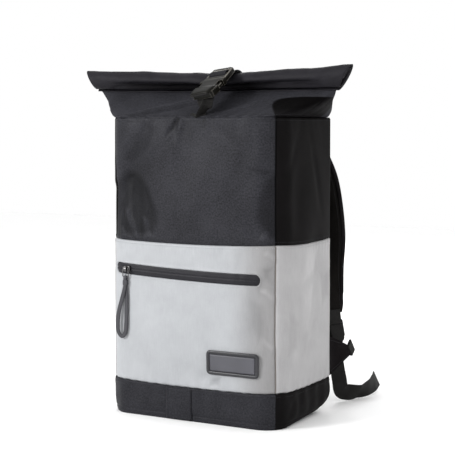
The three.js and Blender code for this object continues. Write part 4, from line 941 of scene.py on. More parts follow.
BootRow = namedtuple("BootRow", "wall round up")
BOOT_WALL = 2.6
BOOT_OUTER = [
    BootRow(0, 44, 0), BootRow(0, 26, 0), BootRow(0, 15, 2.2), BootRow(0, 6.5, 8), BootRow(0, 1.6, 17),
    BootRow(0, 0, 28), BootRow(0, 0, LEVEL["boot"]),
]
BOOT_INNER = [
    BootRow(BOOT_WALL, 0, LEVEL["boot"]), BootRow(BOOT_WALL, 0, 28), BootRow(BOOT_WALL, 6.4, 11),
    BootRow(BOOT_WALL, 25, 4), BootRow(BOOT_WALL, 41, 4),
]
# Share of a row's rounding at the front, and the depths between which it grows to the whole
FRONT_ROUND, ROUND_FROM, ROUND_FULL = 0.1, -80, 75
# Depths between which the bottom lifts off the ground at the back, and how far
LIFT_FROM, LIFT_FULL, LIFT_RISE = 44, 88, 8


def boot_loop(inset):
    half, front, back = WIDTH / 2 - inset, FRONT + inset, BOOT_BACK - inset
    front_radius, back_radius = max(CORNER - inset, 5), max(BOOT_CORNER - inset, 5)
    return rounded_loop([
        (half - front_radius, front + front_radius, front_radius, 40),
        (half - back_radius, back - back_radius, back_radius, 70),
        (back_radius - half, back - back_radius, back_radius, 40),
        (front_radius - half, front + front_radius, front_radius, 80),
    ], 20)


def boot_ring(row):
    wall, inner = boot_loop(row.wall), boot_loop(row.wall + row.round)
    tight = mix(FRONT_ROUND, 1, share(wall[:, 1], ROUND_FROM, ROUND_FULL))[:, None]
    plan = mix(wall, inner, tight)
    part = row.up / LEVEL["boot"]
    lifted = share(plan[:, 1], LIFT_FROM, LIFT_FULL)
    up = row.up + LIFT_RISE * lifted ** 2 * (1 - part)
    rim = smooth(np.full(len(plan), row.up), LEVEL["boot"] - 14, LEVEL["boot"])
    up = up - rim * (seam_sag(plan[:, 0], plan[:, 1]) + 0.4)
    return np.column_stack([plan, up])


def base_boot():
    outer, _ = smooth_line([(row.wall, row.round, row.up) for row in BOOT_OUTER], 10)
    outer[:, 1:] = np.maximum(outer[:, 1:], 0)
    rows = [BootRow(*values) for values in outer] + BOOT_INNER
    rings = np.array([boot_ring(row) for row in rows])
    around = np.concatenate([[0], np.cumsum(np.linalg.norm(np.diff(boot_loop(0), axis=0), axis=1))])
    centre = np.array([0, 3.0])
    away = rings[:, :, :2] - centre
    away = away / np.linalg.norm(away, axis=-1, keepdims=True)
    height = rings[:, :, 2]
    slack = 0.8 * soft_noise(around[None], height * 1.5, 26, 21)
    slack = slack + 0.5 * soft_noise(around[None], height, 11, 22)
    pleat = 0.6 * np.sin(2 * math.pi * (around[None] + 6 * soft_noise(around[None], height, 30, 23)) / 31)
    seen = np.zeros(len(rows))
    seen[:len(outer)] = 1
    amount = (slack + pleat) * smooth(height, 6, 18) * seen[:, None]
    tuck = 1.5 * smooth(height, LEVEL["boot"] - 6, LEVEL["boot"] + 0.5) ** 2 * seen[:, None]
    tuck = tuck + 0.9 * bell((height - 8.5) / 1.3) * seen[:, None]
    rings[:, :, :2] += away * (amount - tuck)[..., None]
    uv = np.stack([np.broadcast_to(around, height.shape), height], -1)
    obj = loft_object("base_boot_cloth", rings, uv)
    finish_piece(obj, DARK_CLOTH, "dark_cloth", "base_boot")
    # The boot's sides take the side cloth's painted shade
    side_faces(obj, SHADED_SIDE_CLOTH)
    rim = rings[len(outer) - 1]
    wall = boot_loop(-0.35)
    stitch_up = LEVEL["boot"] - seam_sag(rim[:, 0], rim[:, 1]) - 5.2
    path = np.column_stack([wall, stitch_up])
    path = np.vstack([path, path[:1]])
    beads_on_paths("boot_rim_stitches", [path], STITCH_PITCH, STITCH, DARK_THREAD)


base_boot()

TAB_LEFT, TAB_RIGHT, TAB_TOP = -39, 5, 50


def light_loop_tab():
    """Strip sewn on the boot's front as a loop for a clip-on lamp."""
    rows = np.array([(FRONT + row.round * FRONT_ROUND, row.up) for row in BOOT_OUTER[2:]])
    rows[-1, 1] = TAB_TOP - SAG_FRONT
    line, runs = smooth_line(np.column_stack([0 * rows[:, 0], rows]), 10)
    out = np.stack([-runs[:, 2], runs[:, 1]], 1)
    x = np.linspace(TAB_LEFT, TAB_RIGHT, 34)
    edge = np.minimum(x - TAB_LEFT, TAB_RIGHT - x)
    lift = 0.6 + 1.7 * smooth(edge, 0, 2.2) + 0.6 * bell((edge - 3) / 1.5)
    up = line[:, 2]
    pleat = 0.5 * bell((up - 24) / 5) + 0.35 * bell((up - 36) / 3)
    far = lift[None] + pleat[:, None] * smooth(edge, 2, 8)[None]
    y = line[:, 1][:, None] + out[:, 0][:, None] * far
    z = line[:, 2][:, None] + out[:, 1][:, None] * far
    wide = np.broadcast_to(x, y.shape)
    points = np.stack([wide, y, z], -1)
    uv = np.stack([wide, np.broadcast_to(up[:, None], y.shape)], -1)
    obj = sheet_object("light_loop_tab_strip", points, uv, 1.5)
    finish_piece(obj, DARK_CLOTH, "dark_cloth", "light_loop_tab")
    paths = [points[4:-2, k] + np.array([0, -0.15, 0]) for k in (4, 29)]
    beads_on_paths("light_loop_stitches", paths, STITCH_PITCH, STITCH, DARK_THREAD)


light_loop_tab()


# Pocket zip

def pocket_zip():
    end = 0.5
    across = stations([
        (ZIP_LEFT + end, 0), (ZIP_LEFT + 9, 0.5), (ZIP_RIGHT - 9, 1.6), (ZIP_RIGHT - end, 0.5),
    ])
    half = ZIP_HALF - 0.2
    from_end = np.minimum(np.minimum(across - ZIP_LEFT - 0.2, ZIP_RIGHT - 0.2 - across), half)
    reach = np.sqrt(np.maximum(half * half - (half - from_end) ** 2, 0.01))
    part = np.linspace(-1, 1, 41)[:, None]
    aside = part * reach
    across = np.broadcast_to(across, aside.shape)
    depth = 1.3 - 0.3 * bell((np.abs(aside) - 2.3) / 1.9) + 0.35 * bell(aside / 0.4)
    depth = depth + 0.6 * smooth(np.abs(aside), 5.8, 8)
    up = zip_height(across) + aside
    points = body_skin(across, up, depth)
    obj = sheet_object("pocket_zip_tape", points, np.stack([across, aside], -1), 1.1)
    finish_piece(obj, ZIP_TAPE, "zip_tape", "pocket_zip")
    line = np.linspace(ZIP_LEFT + 8, ZIP_RIGHT - 8, 220)
    paths = [body_skin(line, zip_height(line) + side * 1.9, 1.22) for side in (-1, 1)]
    beads_on_paths("pocket_zip_coils", paths, 2.1, (0.6, 1.4, 0.3), ZIP_COIL)


pocket_zip()


# Slider, ring, leather pull

RING_HALF_WIDE, RING_HALF_TALL, RING_WIRE, RING_SQUARE = 4.8, 6, 0.8, 0.35
RING_OUT = SLIDER_FRONT + GAP + RING_WIRE
RING_BOTTOM = -2 * RING_HALF_TALL
EYELET = 1.25
slider_origin = body_skin(np.array(float(SLIDER_ACROSS)), np.array(zip_height(SLIDER_ACROSS)), fine=False)


def at_slider(points):
    """Points given as (across, up, out) from the slider's place on the front."""
    points = np.asarray(points, float)
    return slider_origin + np.stack([points[..., 0], -points[..., 2], points[..., 1]], -1)


def rounded_copy(node, name, width, material, slot, edge=None):
    """A copy of a moulded CAD piece with rounded edges, which take the edge material if given, on the buckles
    a painted highlight.
    """
    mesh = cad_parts[node].data.copy()
    mesh.name = name
    body = bmesh.new()
    body.from_mesh(mesh)
    bmesh.ops.remove_doubles(body, verts=body.verts, dist=SAME_POINT)
    bmesh.ops.dissolve_limit(body, angle_limit=math.radians(2), verts=body.verts, edges=body.edges)
    body.to_mesh(mesh)
    body.free()
    obj = link(name, mesh)
    bevel = obj.modifiers.new("edges", "BEVEL")
    bevel.width = width * MM
    bevel.segments = 3
    bevel.limit_method = "ANGLE"
    bevel.angle_limit = math.radians(28)
    if edge:
        mesh.materials.clear()
        mesh.materials.append(material)
        mesh.materials.append(edge)
        bevel.material = 1
    settle(obj)
    edge_highlight_index = [polygon.material_index for polygon in obj.data.polygons]
    for polygon in obj.data.polygons:
        polygon.use_smooth = True
    obj.data.set_sharp_from_angle(angle=math.radians(35))
    finish_piece(obj, material, slot, node)
    if edge:
        obj.data.materials.append(edge)
        obj.data.polygons.foreach_set("material_index", edge_highlight_index)
    return obj


rounded_copy("zip_slider", "zip_slider_body", 0.35, ZIP_METAL, "zip_metal")


def zip_ring():
    angle = 2 * math.pi * (np.arange(72) + 0.5) / 72
    squared = lambda value: np.sign(value) * np.abs(value) ** RING_SQUARE
    flat = np.stack([
        RING_HALF_WIDE * squared(np.cos(angle)), RING_HALF_TALL * (squared(np.sin(angle)) - 1),
    ], 1)
    run = np.roll(flat, -1, axis=0) - np.roll(flat, 1, axis=0)
    run = run / np.linalg.norm(run, axis=1, keepdims=True)
    aside = np.stack([-run[:, 1], run[:, 0]], 1)
    turn = 2 * math.pi * np.arange(14) / 14
    reach = RING_WIRE * np.cos(turn)
    plan = flat[:, None] + aside[:, None] * reach[None, :, None]
    out = np.broadcast_to(RING_OUT + RING_WIRE * np.sin(turn), plan.shape[:2])
    rings = at_slider(np.concatenate([plan, out[..., None]], -1))
    obj = loft_object("zip_pull_wire_ring", rings, closed=True)
    finish_piece(obj, ZIP_METAL, "zip_metal", "zip_pull_ring")


zip_ring()

# Middle line of the leather loop's two legs: across, down from the ring, out of the middle, band's width
LegRow = namedtuple("LegRow", "x down out width")
LEFT_LEG = [
    LegRow(0, -1.9, 0.4, 5.4), LegRow(0, 0.6, 1.7, 5.4), LegRow(-0.2, 6, 1.0, 5.8),
    LegRow(-0.8, 14, 0.8, 6.2), LegRow(-5.4, 32, 0.8, 7.2), LegRow(-11.4, 51, 0.6, 7.2),
    LegRow(-13.6, 70, 0.4, 7.2), LegRow(-12.2, 82, 0.2, 6.6), LegRow(-6.6, 87.6, 0, 5.8),
]
RIGHT_LEG = [
    LegRow(-1.2, 82.6, -0.2, 6.4), LegRow(0.5, 70, -0.4, 6.8), LegRow(1.1, 51, -0.6, 6.8),
    LegRow(1.2, 32, -0.8, 6.6), LegRow(0.4, 14, -0.8, 6.2), LegRow(0, 6, -1.0, 5.8),
    LegRow(0, 0.6, -1.5, 5.4), LegRow(0, -1.9, -0.4, 5.4),
]


def leather_pull():
    rows = LEFT_LEG + RIGHT_LEG
    top = RING_BOTTOM - EYELET + 1.2
    line, runs = smooth_line([(row.x, top - row.down, RING_OUT + row.out) for row in rows], 8)
    width = spread([row.width for row in rows], 8)
    flat_run = runs.copy()
    flat_run[:, 2] = 0
    length = np.linalg.norm(flat_run, axis=1, keepdims=True)
    flat_run = np.where(length > 0.35, flat_run / np.maximum(length, 1e-6), np.nan)
    aside = np.stack([-flat_run[:, 1], flat_run[:, 0], np.zeros(len(runs))], 1)
    aside[np.isnan(aside).any(1)] = (1, 0, 0)
    aside[:8], aside[-8:] = (1, 0, 0), (-1, 0, 0)
    across, out = square_to(aside, runs)
    profile = band_profile(2, 1)
    half = width[:, None, None] / 2
    edge = profile[:, :1]
    thick = 1.5 * profile[:, 1:] * (1 - 0.25 * np.abs(edge) ** 3)
    rings = line[:, None] + across[:, None] * edge * half + out[:, None] * thick
    obj = loft_object("zip_pull_leather", at_slider(rings))
    finish_piece(obj, LEATHER, "leather", "zip_pull_loop")
    start, stop = 26, len(line) - 30
    paths = []
    for side in (-1, 1):
        path = line + across * (side * (width[:, None] / 2 - 1.1)) + out * 0.72
        paths.append(at_slider(path[start:stop]))
    beads_on_paths("zip_pull_stitches", paths, 2.4, (0.8, 0.22, 0.2), DARK_THREAD)


leather_pull()


def pull_keeper():
    """Narrow leather band that holds the two legs together."""
    wide, thick = 3.1 + GAP + 0.55, 1.3 + GAP + 0.55
    rows = []
    for height in np.linspace(-3.5, 3.5, 9):
        swell = 0.25 * math.cos(height / 3.5 * math.pi / 2)
        for_ring = [(wide - 1.2, -thick + 1.2, 1.2, 6), (wide - 1.2, thick - 1.2, 1.2, 10),
                    (1.2 - wide, thick - 1.2, 1.2, 6), (1.2 - wide, -thick + 1.2, 1.2, 10)]
        plan = rounded_loop(for_ring, 6) * (1 + swell * 0.08)
        up = np.full(len(plan), RING_BOTTOM - 8 + height)
        rows.append(np.column_stack([plan[:, 0] - 0.1, up, plan[:, 1] + RING_OUT]))
    rings = at_slider(np.array(rows))
    obj = loft_object("pull_keeper_band", rings)
    finish_piece(obj, LEATHER, "leather", "pull_keeper")


pull_keeper()


# Badge: moulded rubber plate with a raised rim, bare

BADGE_ACROSS, BADGE_UP, BADGE_WIDE, BADGE_TALL, BADGE_RADIUS = 71.8, 89.2, 83, 34.5, 6
# Section from the back over the rim to the plate's middle, as (inset, out) rows
BADGE_PROFILE = [
    (6, 0.5), (0.6, 0.5), (0.05, 0.9), (0, 1.7), (0.3, 2.4), (0.9, 2.8), (1.8, 3.0), (3.0, 3.0), (4.1, 2.85),
    (4.7, 2.4), (5.0, 1.8), (5.4, 1.4), (5.9, 1.5), (6.3, 1.95), (8, 2.05), (11, 2.1), (14, 2.15),
    (15.6, 2.15),
]
# The rim's last row
BADGE_RIM = 11


def badge():
    rings = []
    for inset, out in BADGE_PROFILE:
        radius = max(BADGE_RADIUS - inset, 1)
        wide, tall = BADGE_WIDE / 2 - inset - radius, BADGE_TALL / 2 - inset - radius
        loop = rounded_loop([(wide, -tall, radius, 14), (wide, tall, radius, 36),
                             (-wide, tall, radius, 14), (-wide, -tall, radius, 36)], 8)
        rings.append(body_skin(BADGE_ACROSS + loop[:, 0], BADGE_UP + loop[:, 1], -out, fine=False))
    rim, plate = np.array(rings[:BADGE_RIM + 1]), np.array(rings[BADGE_RIM - 1:])
    finish_piece(loft_object("badge_rim", rim), RIM_RUBBER, "rubber", "badge")
    finish_piece(loft_object("badge_plate", plate), RUBBER, "rubber", "badge")


badge()


# Roll-top collar: neck above the body and the rolled mouth

SectionRow = namedtuple("SectionRow", "along y z deep tall")
ROLL_SECTION = [
    SectionRow(-1, -16, 493, 10.5, 17.4), SectionRow(-0.6, -14, 490.2, 14, 16.6),
    SectionRow(-0.2, -8, 488.2, 17, 15.1), SectionRow(0.1, -6.5, 486.2, 16, 14.2),
    SectionRow(0.35, -10, 488, 16.5, 15.4), SectionRow(0.7, -14, 488.9, 13.5, 17.3),
    SectionRow(1, -16, 490.2, 10.5, 18.6),
]
ROLL_BOTTOM, ROLL_TOP, ROLL_START, ROLL_TURNS, ROLL_PITCH, ROLL_THICK = 203, 224, -75, 1.75, 0.25, 1.8
# Half length of the roll that its folds are laid out on, points along and around it
ROLL_HALF, ROLL_COLUMNS, ROLL_ROWS = 200, 170, 150
# Cloth coordinates: half the roll's length, and a degree of its turn
ROLL_CLOTH_HALF, ROLL_CLOTH_DEGREE = 205, 0.3
NECK_SAG, NECK_BULGE, NECK_HEM_PITCH = 4, 9, 19
# Half length around the neck's front, its height along the cloth, and how strongly its folds show in painted
# light and shade
NECK_HALF, NECK_TALL, NECK_SHADE = 212, 70, 1.8
NECK_COLUMNS, NECK_ROWS, NECK_THICK = 220, 44, 1.6
# How strongly the cloth crowds towards the roll's ends, in front and behind, and how far along it reaches
GATHER_FRONT, GATHER_BACK, NECK_REACH = 1.7, 2.0, 0.97


def roll_column(name, along):
    keys = [row.along for row in ROLL_SECTION]
    values = np.array([getattr(row, name) for row in ROLL_SECTION], float)
    low = np.clip(np.searchsorted(keys, along) - 1, 0, len(keys) - 2)
    keys = np.array(keys)
    part = smooth(along, keys[low], keys[low + 1])
    return mix(values[low], values[low + 1], part)


def roll_point(along, turn, inset):
    angle = math.radians(ROLL_START) + 2 * math.pi * turn
    shrink = 1 - ROLL_PITCH * turn
    tall = roll_column("tall", along)
    y = roll_column("y", along) + (roll_column("deep", along) * shrink - inset) * np.cos(angle)
    z = roll_column("z", along) + (tall * shrink - inset) * np.sin(angle)
    height = share(z - roll_column("z", along), -tall, tall)
    return np.stack([along * mix(ROLL_BOTTOM, ROLL_TOP, height), y, z], -1)


def rolled_mouth():
    along, turn = np.meshgrid(
        np.linspace(-1, 1, ROLL_COLUMNS), np.linspace(-0.03, ROLL_TURNS, ROLL_ROWS), indexing="ij")
    degrees = ROLL_START + 360 * turn
    outer = 1 - smooth(turn, 0.85, 1.0)
    wide = along * ROLL_HALF
    wander = 8 * soft_noise(wide, 0 * along, 70, 31)
    groove = smooth(degrees, 182 + wander, 214 + wander) * (1 - smooth(degrees, 250, 275))
    groove = groove * smooth(1 - np.abs(along), 0.05, 0.3)
    ripple = soft_noise(wide, degrees * 0.25, 22, 33) + 0.6 * soft_noise(wide, degrees * 0.3, 9, 34)
    diagonal = np.sin((wide + degrees * 0.35) / 13 + 2 * soft_noise(wide, degrees * 0.3, 45, 35))
    near_end = smooth(np.abs(along), 0.55, 0.95)
    inset = outer * (5.5 * groove + 0.55 * ripple + (0.15 + 0.45 * near_end) * diagonal)
    points = roll_point(along, turn, inset)
    uv = np.stack([along * ROLL_CLOTH_HALF, degrees * ROLL_CLOTH_DEGREE], -1)
    obj = sheet_object("roll_top_mouth", points, uv, ROLL_THICK - 0.3)
    finish_piece(obj, ROLL_CLOTH, "dark_cloth", "roll_top_collar")


rolled_mouth()


def collar_half(front, inset, count):
    """Half of the collar's lower outline from side to side, at equal distances."""
    half, middle = WIDTH / 2 - inset, (FRONT + COLLAR_BACK) / 2
    radius = (CORNER if front else BACK_CORNER) - inset
    edge = FRONT + inset if front else COLLAR_BACK - inset
    inward = 1 if front else -1
    turn = np.linspace(0, math.pi / 2, 40)
    left = np.stack([-half + radius - radius * np.cos(turn), edge + inward * radius * (1 - np.sin(turn))], 1)
    right = left[::-1] * np.array([-1, 1])
    path = np.vstack([[-half, middle], left, right, [half, middle]])
    along = np.concatenate([[0], np.cumsum(np.linalg.norm(np.diff(path, axis=0), axis=1))])
    want = np.linspace(0, along[-1], count + 1)
    return np.stack([np.interp(want, along, path[:, k]) for k in (0, 1)], 1)


# Folds of the neck's front: from and to as (along, rise), half width and height in millimetres
NeckFold = namedtuple("NeckFold", "along0 rise0 along1 rise1 wide height")
NECK_FOLDS = [
    NeckFold(-0.5, 0.1, -0.02, 0.85, 7, 4.5),
    NeckFold(-0.42, 0.02, 0.02, 0.7, 6, -2.6),
    NeckFold(-0.75, 0.3, -0.45, 0.95, 8, -2.0),
    NeckFold(0.14, 0.15, 0.34, 0.8, 5, 0.7),
    NeckFold(0.2, 0.1, 0.4, 0.75, 5, -0.7),
    NeckFold(0.3, 0.25, 0.62, 0.9, 7, -0.8),
    NeckFold(0.86, 0.05, 0.84, 0.9, 5, -2.2),
]


def neck_points(base, along, rise, front):
    crowd = 1 - (1 - np.abs(along)) ** (GATHER_FRONT if front else GATHER_BACK)
    ridge = roll_point(np.sign(along) * crowd * NECK_REACH, 0 * along, ROLL_THICK / 2)
    bottom = np.column_stack([base, np.full(len(base), LEVEL["seam"] + GAP / 2)])
    points = mix(bottom, ridge, rise)
    arc = math.sin(math.pi * rise)
    to_end = np.abs(along)
    outward = base / np.linalg.norm(base, axis=1, keepdims=True)
    points[:, :2] += outward * (NECK_BULGE * arc ** 0.8 * smooth(to_end, 0.35, 0.65))[:, None]
    points[:, 2] -= NECK_SAG * arc * (1 - to_end ** 2)
    around = along * NECK_HALF
    height = 0.8 * soft_noise(around, np.full(len(along), rise * 40), 18, 41) * arc
    hem = np.sin(2 * math.pi * (around + 5 * soft_noise(around, 0 * along, 30, 42)) / NECK_HEM_PITCH)
    height = height + 0.8 * hem * math.exp(-rise * 6)
    if front:
        for fold in NECK_FOLDS:
            run = np.array([(fold.along1 - fold.along0) * NECK_HALF, (fold.rise1 - fold.rise0) * NECK_TALL])
            length = np.linalg.norm(run)
            above = np.full(len(along), (rise - fold.rise0) * NECK_TALL)
            place = np.stack([(along - fold.along0) * NECK_HALF, above], 1)
            way = place @ run / length ** 2
            aside = place @ np.array([-run[1], run[0]]) / length
            wide = np.where(aside * fold.height > 0, 0.45, 1.2) * fold.wide
            height = height + fold.height * bell(aside / wide) * bell((way - 0.5) / 0.55) * (1 - rise ** 3)
    slope = 0.65 if front else 0.5
    tuck = 1.6 * math.exp(-(rise * 22) ** 2)
    lean_x = outward[:, 0] * smooth(to_end, 0.5, 0.8)
    lean_y = (-1 if front else 1) * (1 - smooth(to_end, 0.6, 0.9))
    lean = np.stack([lean_x, lean_y], 1)
    points[:, :2] += lean * ((height - tuck) * (1 - slope * 0.4))[:, None]
    if rise > 0.02:
        points[:, 2] += slope * np.maximum(height, -4) * (1 - smooth(to_end, 0.7, 0.95))
    return points, height


# The neck's dark side gusset: its front seam at the foot, that seam's lean, its top at the side and the seam
GUSSET_SEAM, GUSSET_LEAN, GUSSET_TOP = 0.633, 0.35, (0.72, 0.82)
# Share of the folds' painted light and shade left out on the gusset, whose recess stays in painted shade
GUSSET_FOLD_SHADE_CUT = 0.8
# On the left and at the back the gusset is folded in further
FOLDED_GUSSET_SEAM = 0.8


def gusset_share(wide, rise):
    """Above nought inside the neck's round-cornered gussets; wide runs around the neck from the front."""
    along = np.where(wide <= NECK_HALF, wide, 2 * NECK_HALF - wide) / NECK_HALF
    seen = (wide >= 0) & (wide <= NECK_HALF)
    seam = np.where(seen, GUSSET_SEAM - GUSSET_LEAN * rise, FOLDED_GUSSET_SEAM)
    inside = (1 - np.abs(along)) / (1 - seam)
    return 1 - (inside ** 6 + (rise / mix(*GUSSET_TOP, np.minimum(inside, 1))) ** 6) ** (1 / 6)


def collar_neck():
    front, back = collar_half(True, 0, NECK_COLUMNS), collar_half(False, 0, NECK_COLUMNS)
    along = np.linspace(-1, 1, NECK_COLUMNS + 1)
    rows, uv, heights = [], [], []
    for rise in np.linspace(0, 1, NECK_ROWS):
        forward, front_height = neck_points(front, along, rise, True)
        behind, back_height = neck_points(back, along, rise, False)
        rows.append(np.vstack([forward, behind[1:-1][::-1]]))
        heights.append(np.concatenate([front_height, back_height[1:-1][::-1]]))
        wide = np.concatenate([along, 2 - along[1:-1][::-1]]) * NECK_HALF
        uv.append(np.column_stack([wide, np.full(len(wide), rise * NECK_TALL)]))
    uv = np.array(uv)
    # Painted light and shade of the neck's folds, mostly left out on the gussets
    shade = NECK_SHADE * fold_shade(uv[..., 0], uv[..., 1], np.array(heights))
    gusset = gusset_share(uv[..., 0], uv[..., 1] / NECK_TALL)
    shade = np.clip(shade, -SHADE_MOST, SHADE_MOST) * (1 - GUSSET_FOLD_SHADE_CUT * smooth(gusset, 0, 0.1))
    tones = {"fold_shade": shade, "gusset": gusset}
    obj = sheet_object("roll_top_neck", np.array(rows), uv, NECK_THICK, True, tones)
    finish_piece(obj, NECK_CLOTH, "dark_cloth", "roll_top_collar")
    foot = rows[4][4:217] + np.array([0, -0.4, 0.2])
    beads_on_paths("neck_seam_stitches", [foot], STITCH_PITCH, STITCH, DARK_THREAD)


collar_neck()


# Side-release buckle and the webbing of the closure

def unit(values):
    values = np.asarray(values, float)
    return values / np.linalg.norm(values)


BUCKLE_MIDDLE = np.array([21.7, -49.1, 483.9])
BUCKLE_ALONG = unit([0.053, 0.832, 0.553])
BUCKLE_OUT = unit(np.cross([0.985, -0.14, 0.1], BUCKLE_ALONG))
BUCKLE_ACROSS = np.cross(BUCKLE_ALONG, BUCKLE_OUT)
BUCKLE_LENGTH, BUCKLE_THICK, BUCKLE_MOUTH = 70, 10, 4
SOCKET_SLOT = (-30.5, -26)
PLUG_SLOTS = [(12, 17), (23.5, 28.5)]
PLUG_THICK = 8
TOP_WIDTH, TOP_THICK = 30, 1.5


def on_buckle(aside, along, out):
    return BUCKLE_MIDDLE + BUCKLE_ACROSS * aside + BUCKLE_ALONG * along + BUCKLE_OUT * out


# The buckles' rounded edges carry a painted highlight
rounded_copy("buckle_socket", "buckle_socket_shell", 0.8, BUCKLE_PLASTIC, "buckle_plastic", BUCKLE_EDGE_HIGHLIGHT)
rounded_copy("buckle_plug", "buckle_plug_body", 0.7, BUCKLE_PLASTIC, "buckle_plastic", BUCKLE_EDGE_HIGHLIGHT)


# Smooth hood of the socket over the webbing's turn: along, half width, out
HOOD_ROWS = [
    (-39.5, 15.2, 5.6), (-38.8, 15.8, 7.4), (-36, 16.6, 8.5), (-30, 17.6, 8.8), (-24, 18.2, 8.2),
    (-18.5, 18.4, 6.6), (-16.5, 18.2, 5.4),
]


def socket_hood():
    line, _ = smooth_line(HOOD_ROWS, 5)
    part = np.linspace(-1, 1, 25)
    rows = []
    for along, half, out in line:
        sag = 1.1 * np.abs(part) ** 2 + (out - 5) * smooth(np.abs(part), 0.86, 1.0) ** 2
        rows.append([on_buckle(half * side, along, out - drop) for side, drop in zip(part, sag)])
    points = np.array(rows)
    uv = np.zeros(points.shape[:2] + (2,))
    obj = sheet_object("buckle_socket_hood", points, uv, 1.0)
    finish_piece(obj, BUCKLE_PLASTIC, "buckle_plastic")


socket_hood()


def on_bar(along, out):
    return on_buckle(0, along, out), BUCKLE_ACROSS


def straight_stitches(name, places, across, out, start, stop, edges, lift, thread, cross=False):
    """Rows of stitches along a band near its edges, with a box end if cross is set."""
    paths = [places[start:stop] + across[start:stop] * edge + out[start:stop] * lift for edge in edges]
    if cross:
        for k in (start, stop - 1):
            part = np.linspace(edges[0], edges[-1], 14)[:, None]
            paths.append(places[k] + across[k] * part + out[k] * lift)
    return beads_on_paths(name, paths, FINE_PITCH, STITCH, thread)


# Where the front strap is sewn in: across, drop below the seam, distance out of the cloth
FRONT_ANCHOR = [(11.0, 3.0, -2.6), (12.0, -0.6, 0.6), (13.5, -4.0, 1.6)]
# Lengthwise fold of the front strap from the seam up to the buckle, in degrees
FRONT_PINCH = [15, 48, 66, 68, 14]


def front_strap():
    bar = BUCKLE_THICK / 2 + 1.5 * GAP + TOP_THICK / 2
    end = -BUCKLE_LENGTH / 2
    in_slot = sum(SOCKET_SLOT) / 2
    level = np.array([1.0, 0, 0])
    sewn = []
    for across, drop, off in FRONT_ANCHOR:
        sewn.append((body_skin(np.array(across), np.array(LEVEL["seam"] - drop), -off), level))
    rows = sewn + [
        on_bar(end - 9, -bar - 2), on_bar(end + 1, -bar), on_bar(in_slot - 0.6, 1 - bar), on_bar(in_slot, 0),
        on_bar(in_slot - 0.6, bar - 1), on_bar(end, bar), on_bar(end - 7, bar - 1.8),
    ]
    pinch = FRONT_PINCH + [0] * (len(rows) - len(FRONT_PINCH))
    obj, _, _, _ = woven_band("front_strap_webbing", rows, TOP_WIDTH, TOP_THICK, sheared=True, pinch=pinch)
    finish_piece(obj, WEBBING, "webbing", "front_strap")


# Where the back strap lies on the roll: x, y, z and its sideways lean
OVER_ROLL = [
    (24, -5, 502.5, 0.05), (23.5, 6, 499.5, 0.03), (22, 34, 480, 0), (21, 70, 454.5, 0), (20.5, 89, 440.5, 0),
]
# Where it is sewn on the back panel
BACK_ANCHOR_ACROSS, BACK_ANCHOR_UP = 20.5, (428, 414)
BACK_STITCH_EDGES = (-12.5, 12.5)


def back_strap():
    face = PLUG_THICK / 2 + GAP + TOP_THICK / 2
    near, far = [sum(slot) / 2 for slot in PLUG_SLOTS]
    rows = [
        on_bar(BUCKLE_MOUTH + 2, -face), on_bar(near - 2, -face), on_bar(near, 0), on_bar(near + 2.6, face),
        on_bar(far - 2.6, face), on_bar(far, 0), on_bar(far + 2.6, -face),
        on_bar(BUCKLE_LENGTH / 2 + 3, -face),
    ]
    rows += [(np.array([x, y, z]), np.array([1, 0, lean])) for x, y, z, lean in OVER_ROLL]
    for z in BACK_ANCHOR_UP:
        y = back_skin(BACK_ANCHOR_ACROSS, z) + 1.5 * GAP + TOP_THICK / 2 + 0.6
        rows.append((np.array([BACK_ANCHOR_ACROSS, y, z]), np.array([1.0, 0, 0])))
    obj, places, across, out = woven_band("back_strap_webbing", rows, TOP_WIDTH, TOP_THICK)
    finish_piece(obj, TOP_WEBBING, "webbing", "back_strap")
    straight_stitches("back_strap_stitches", places, across, -out, len(places) - 9, len(places) - 1,
                      BACK_STITCH_EDGES, TOP_THICK / 2 + 0.1, DARK_THREAD, True)


# Padded back and shoulder straps

BACK_HALF, BACK_HALF_TALL, BACK_EDGE, BACK_PAD = 142.6, 188.5, 4, 8
# Sewn channels of the back pad: distance from its middle, height of the cross channel, half width, depth
CHANNEL_ASIDE, CHANNEL_UP, CHANNEL_HALF, CHANNEL_DEEP = 44, 150, 4, 2.4
PUFF_FRAMES = 20


def back_skin(x, z):
    middle = (LEVEL["boot"] + LEVEL["seam"]) / 2
    wide = 1 - np.abs(x / BACK_HALF) ** 6
    tall = 1 - np.abs(2 * (z - middle) / (LEVEL["seam"] - LEVEL["boot"])) ** 10
    full = np.sqrt(np.maximum(wide, 0) * np.maximum(tall, 0))
    return SIDE_BACK + GAP + BACK_EDGE + BACK_PAD * full


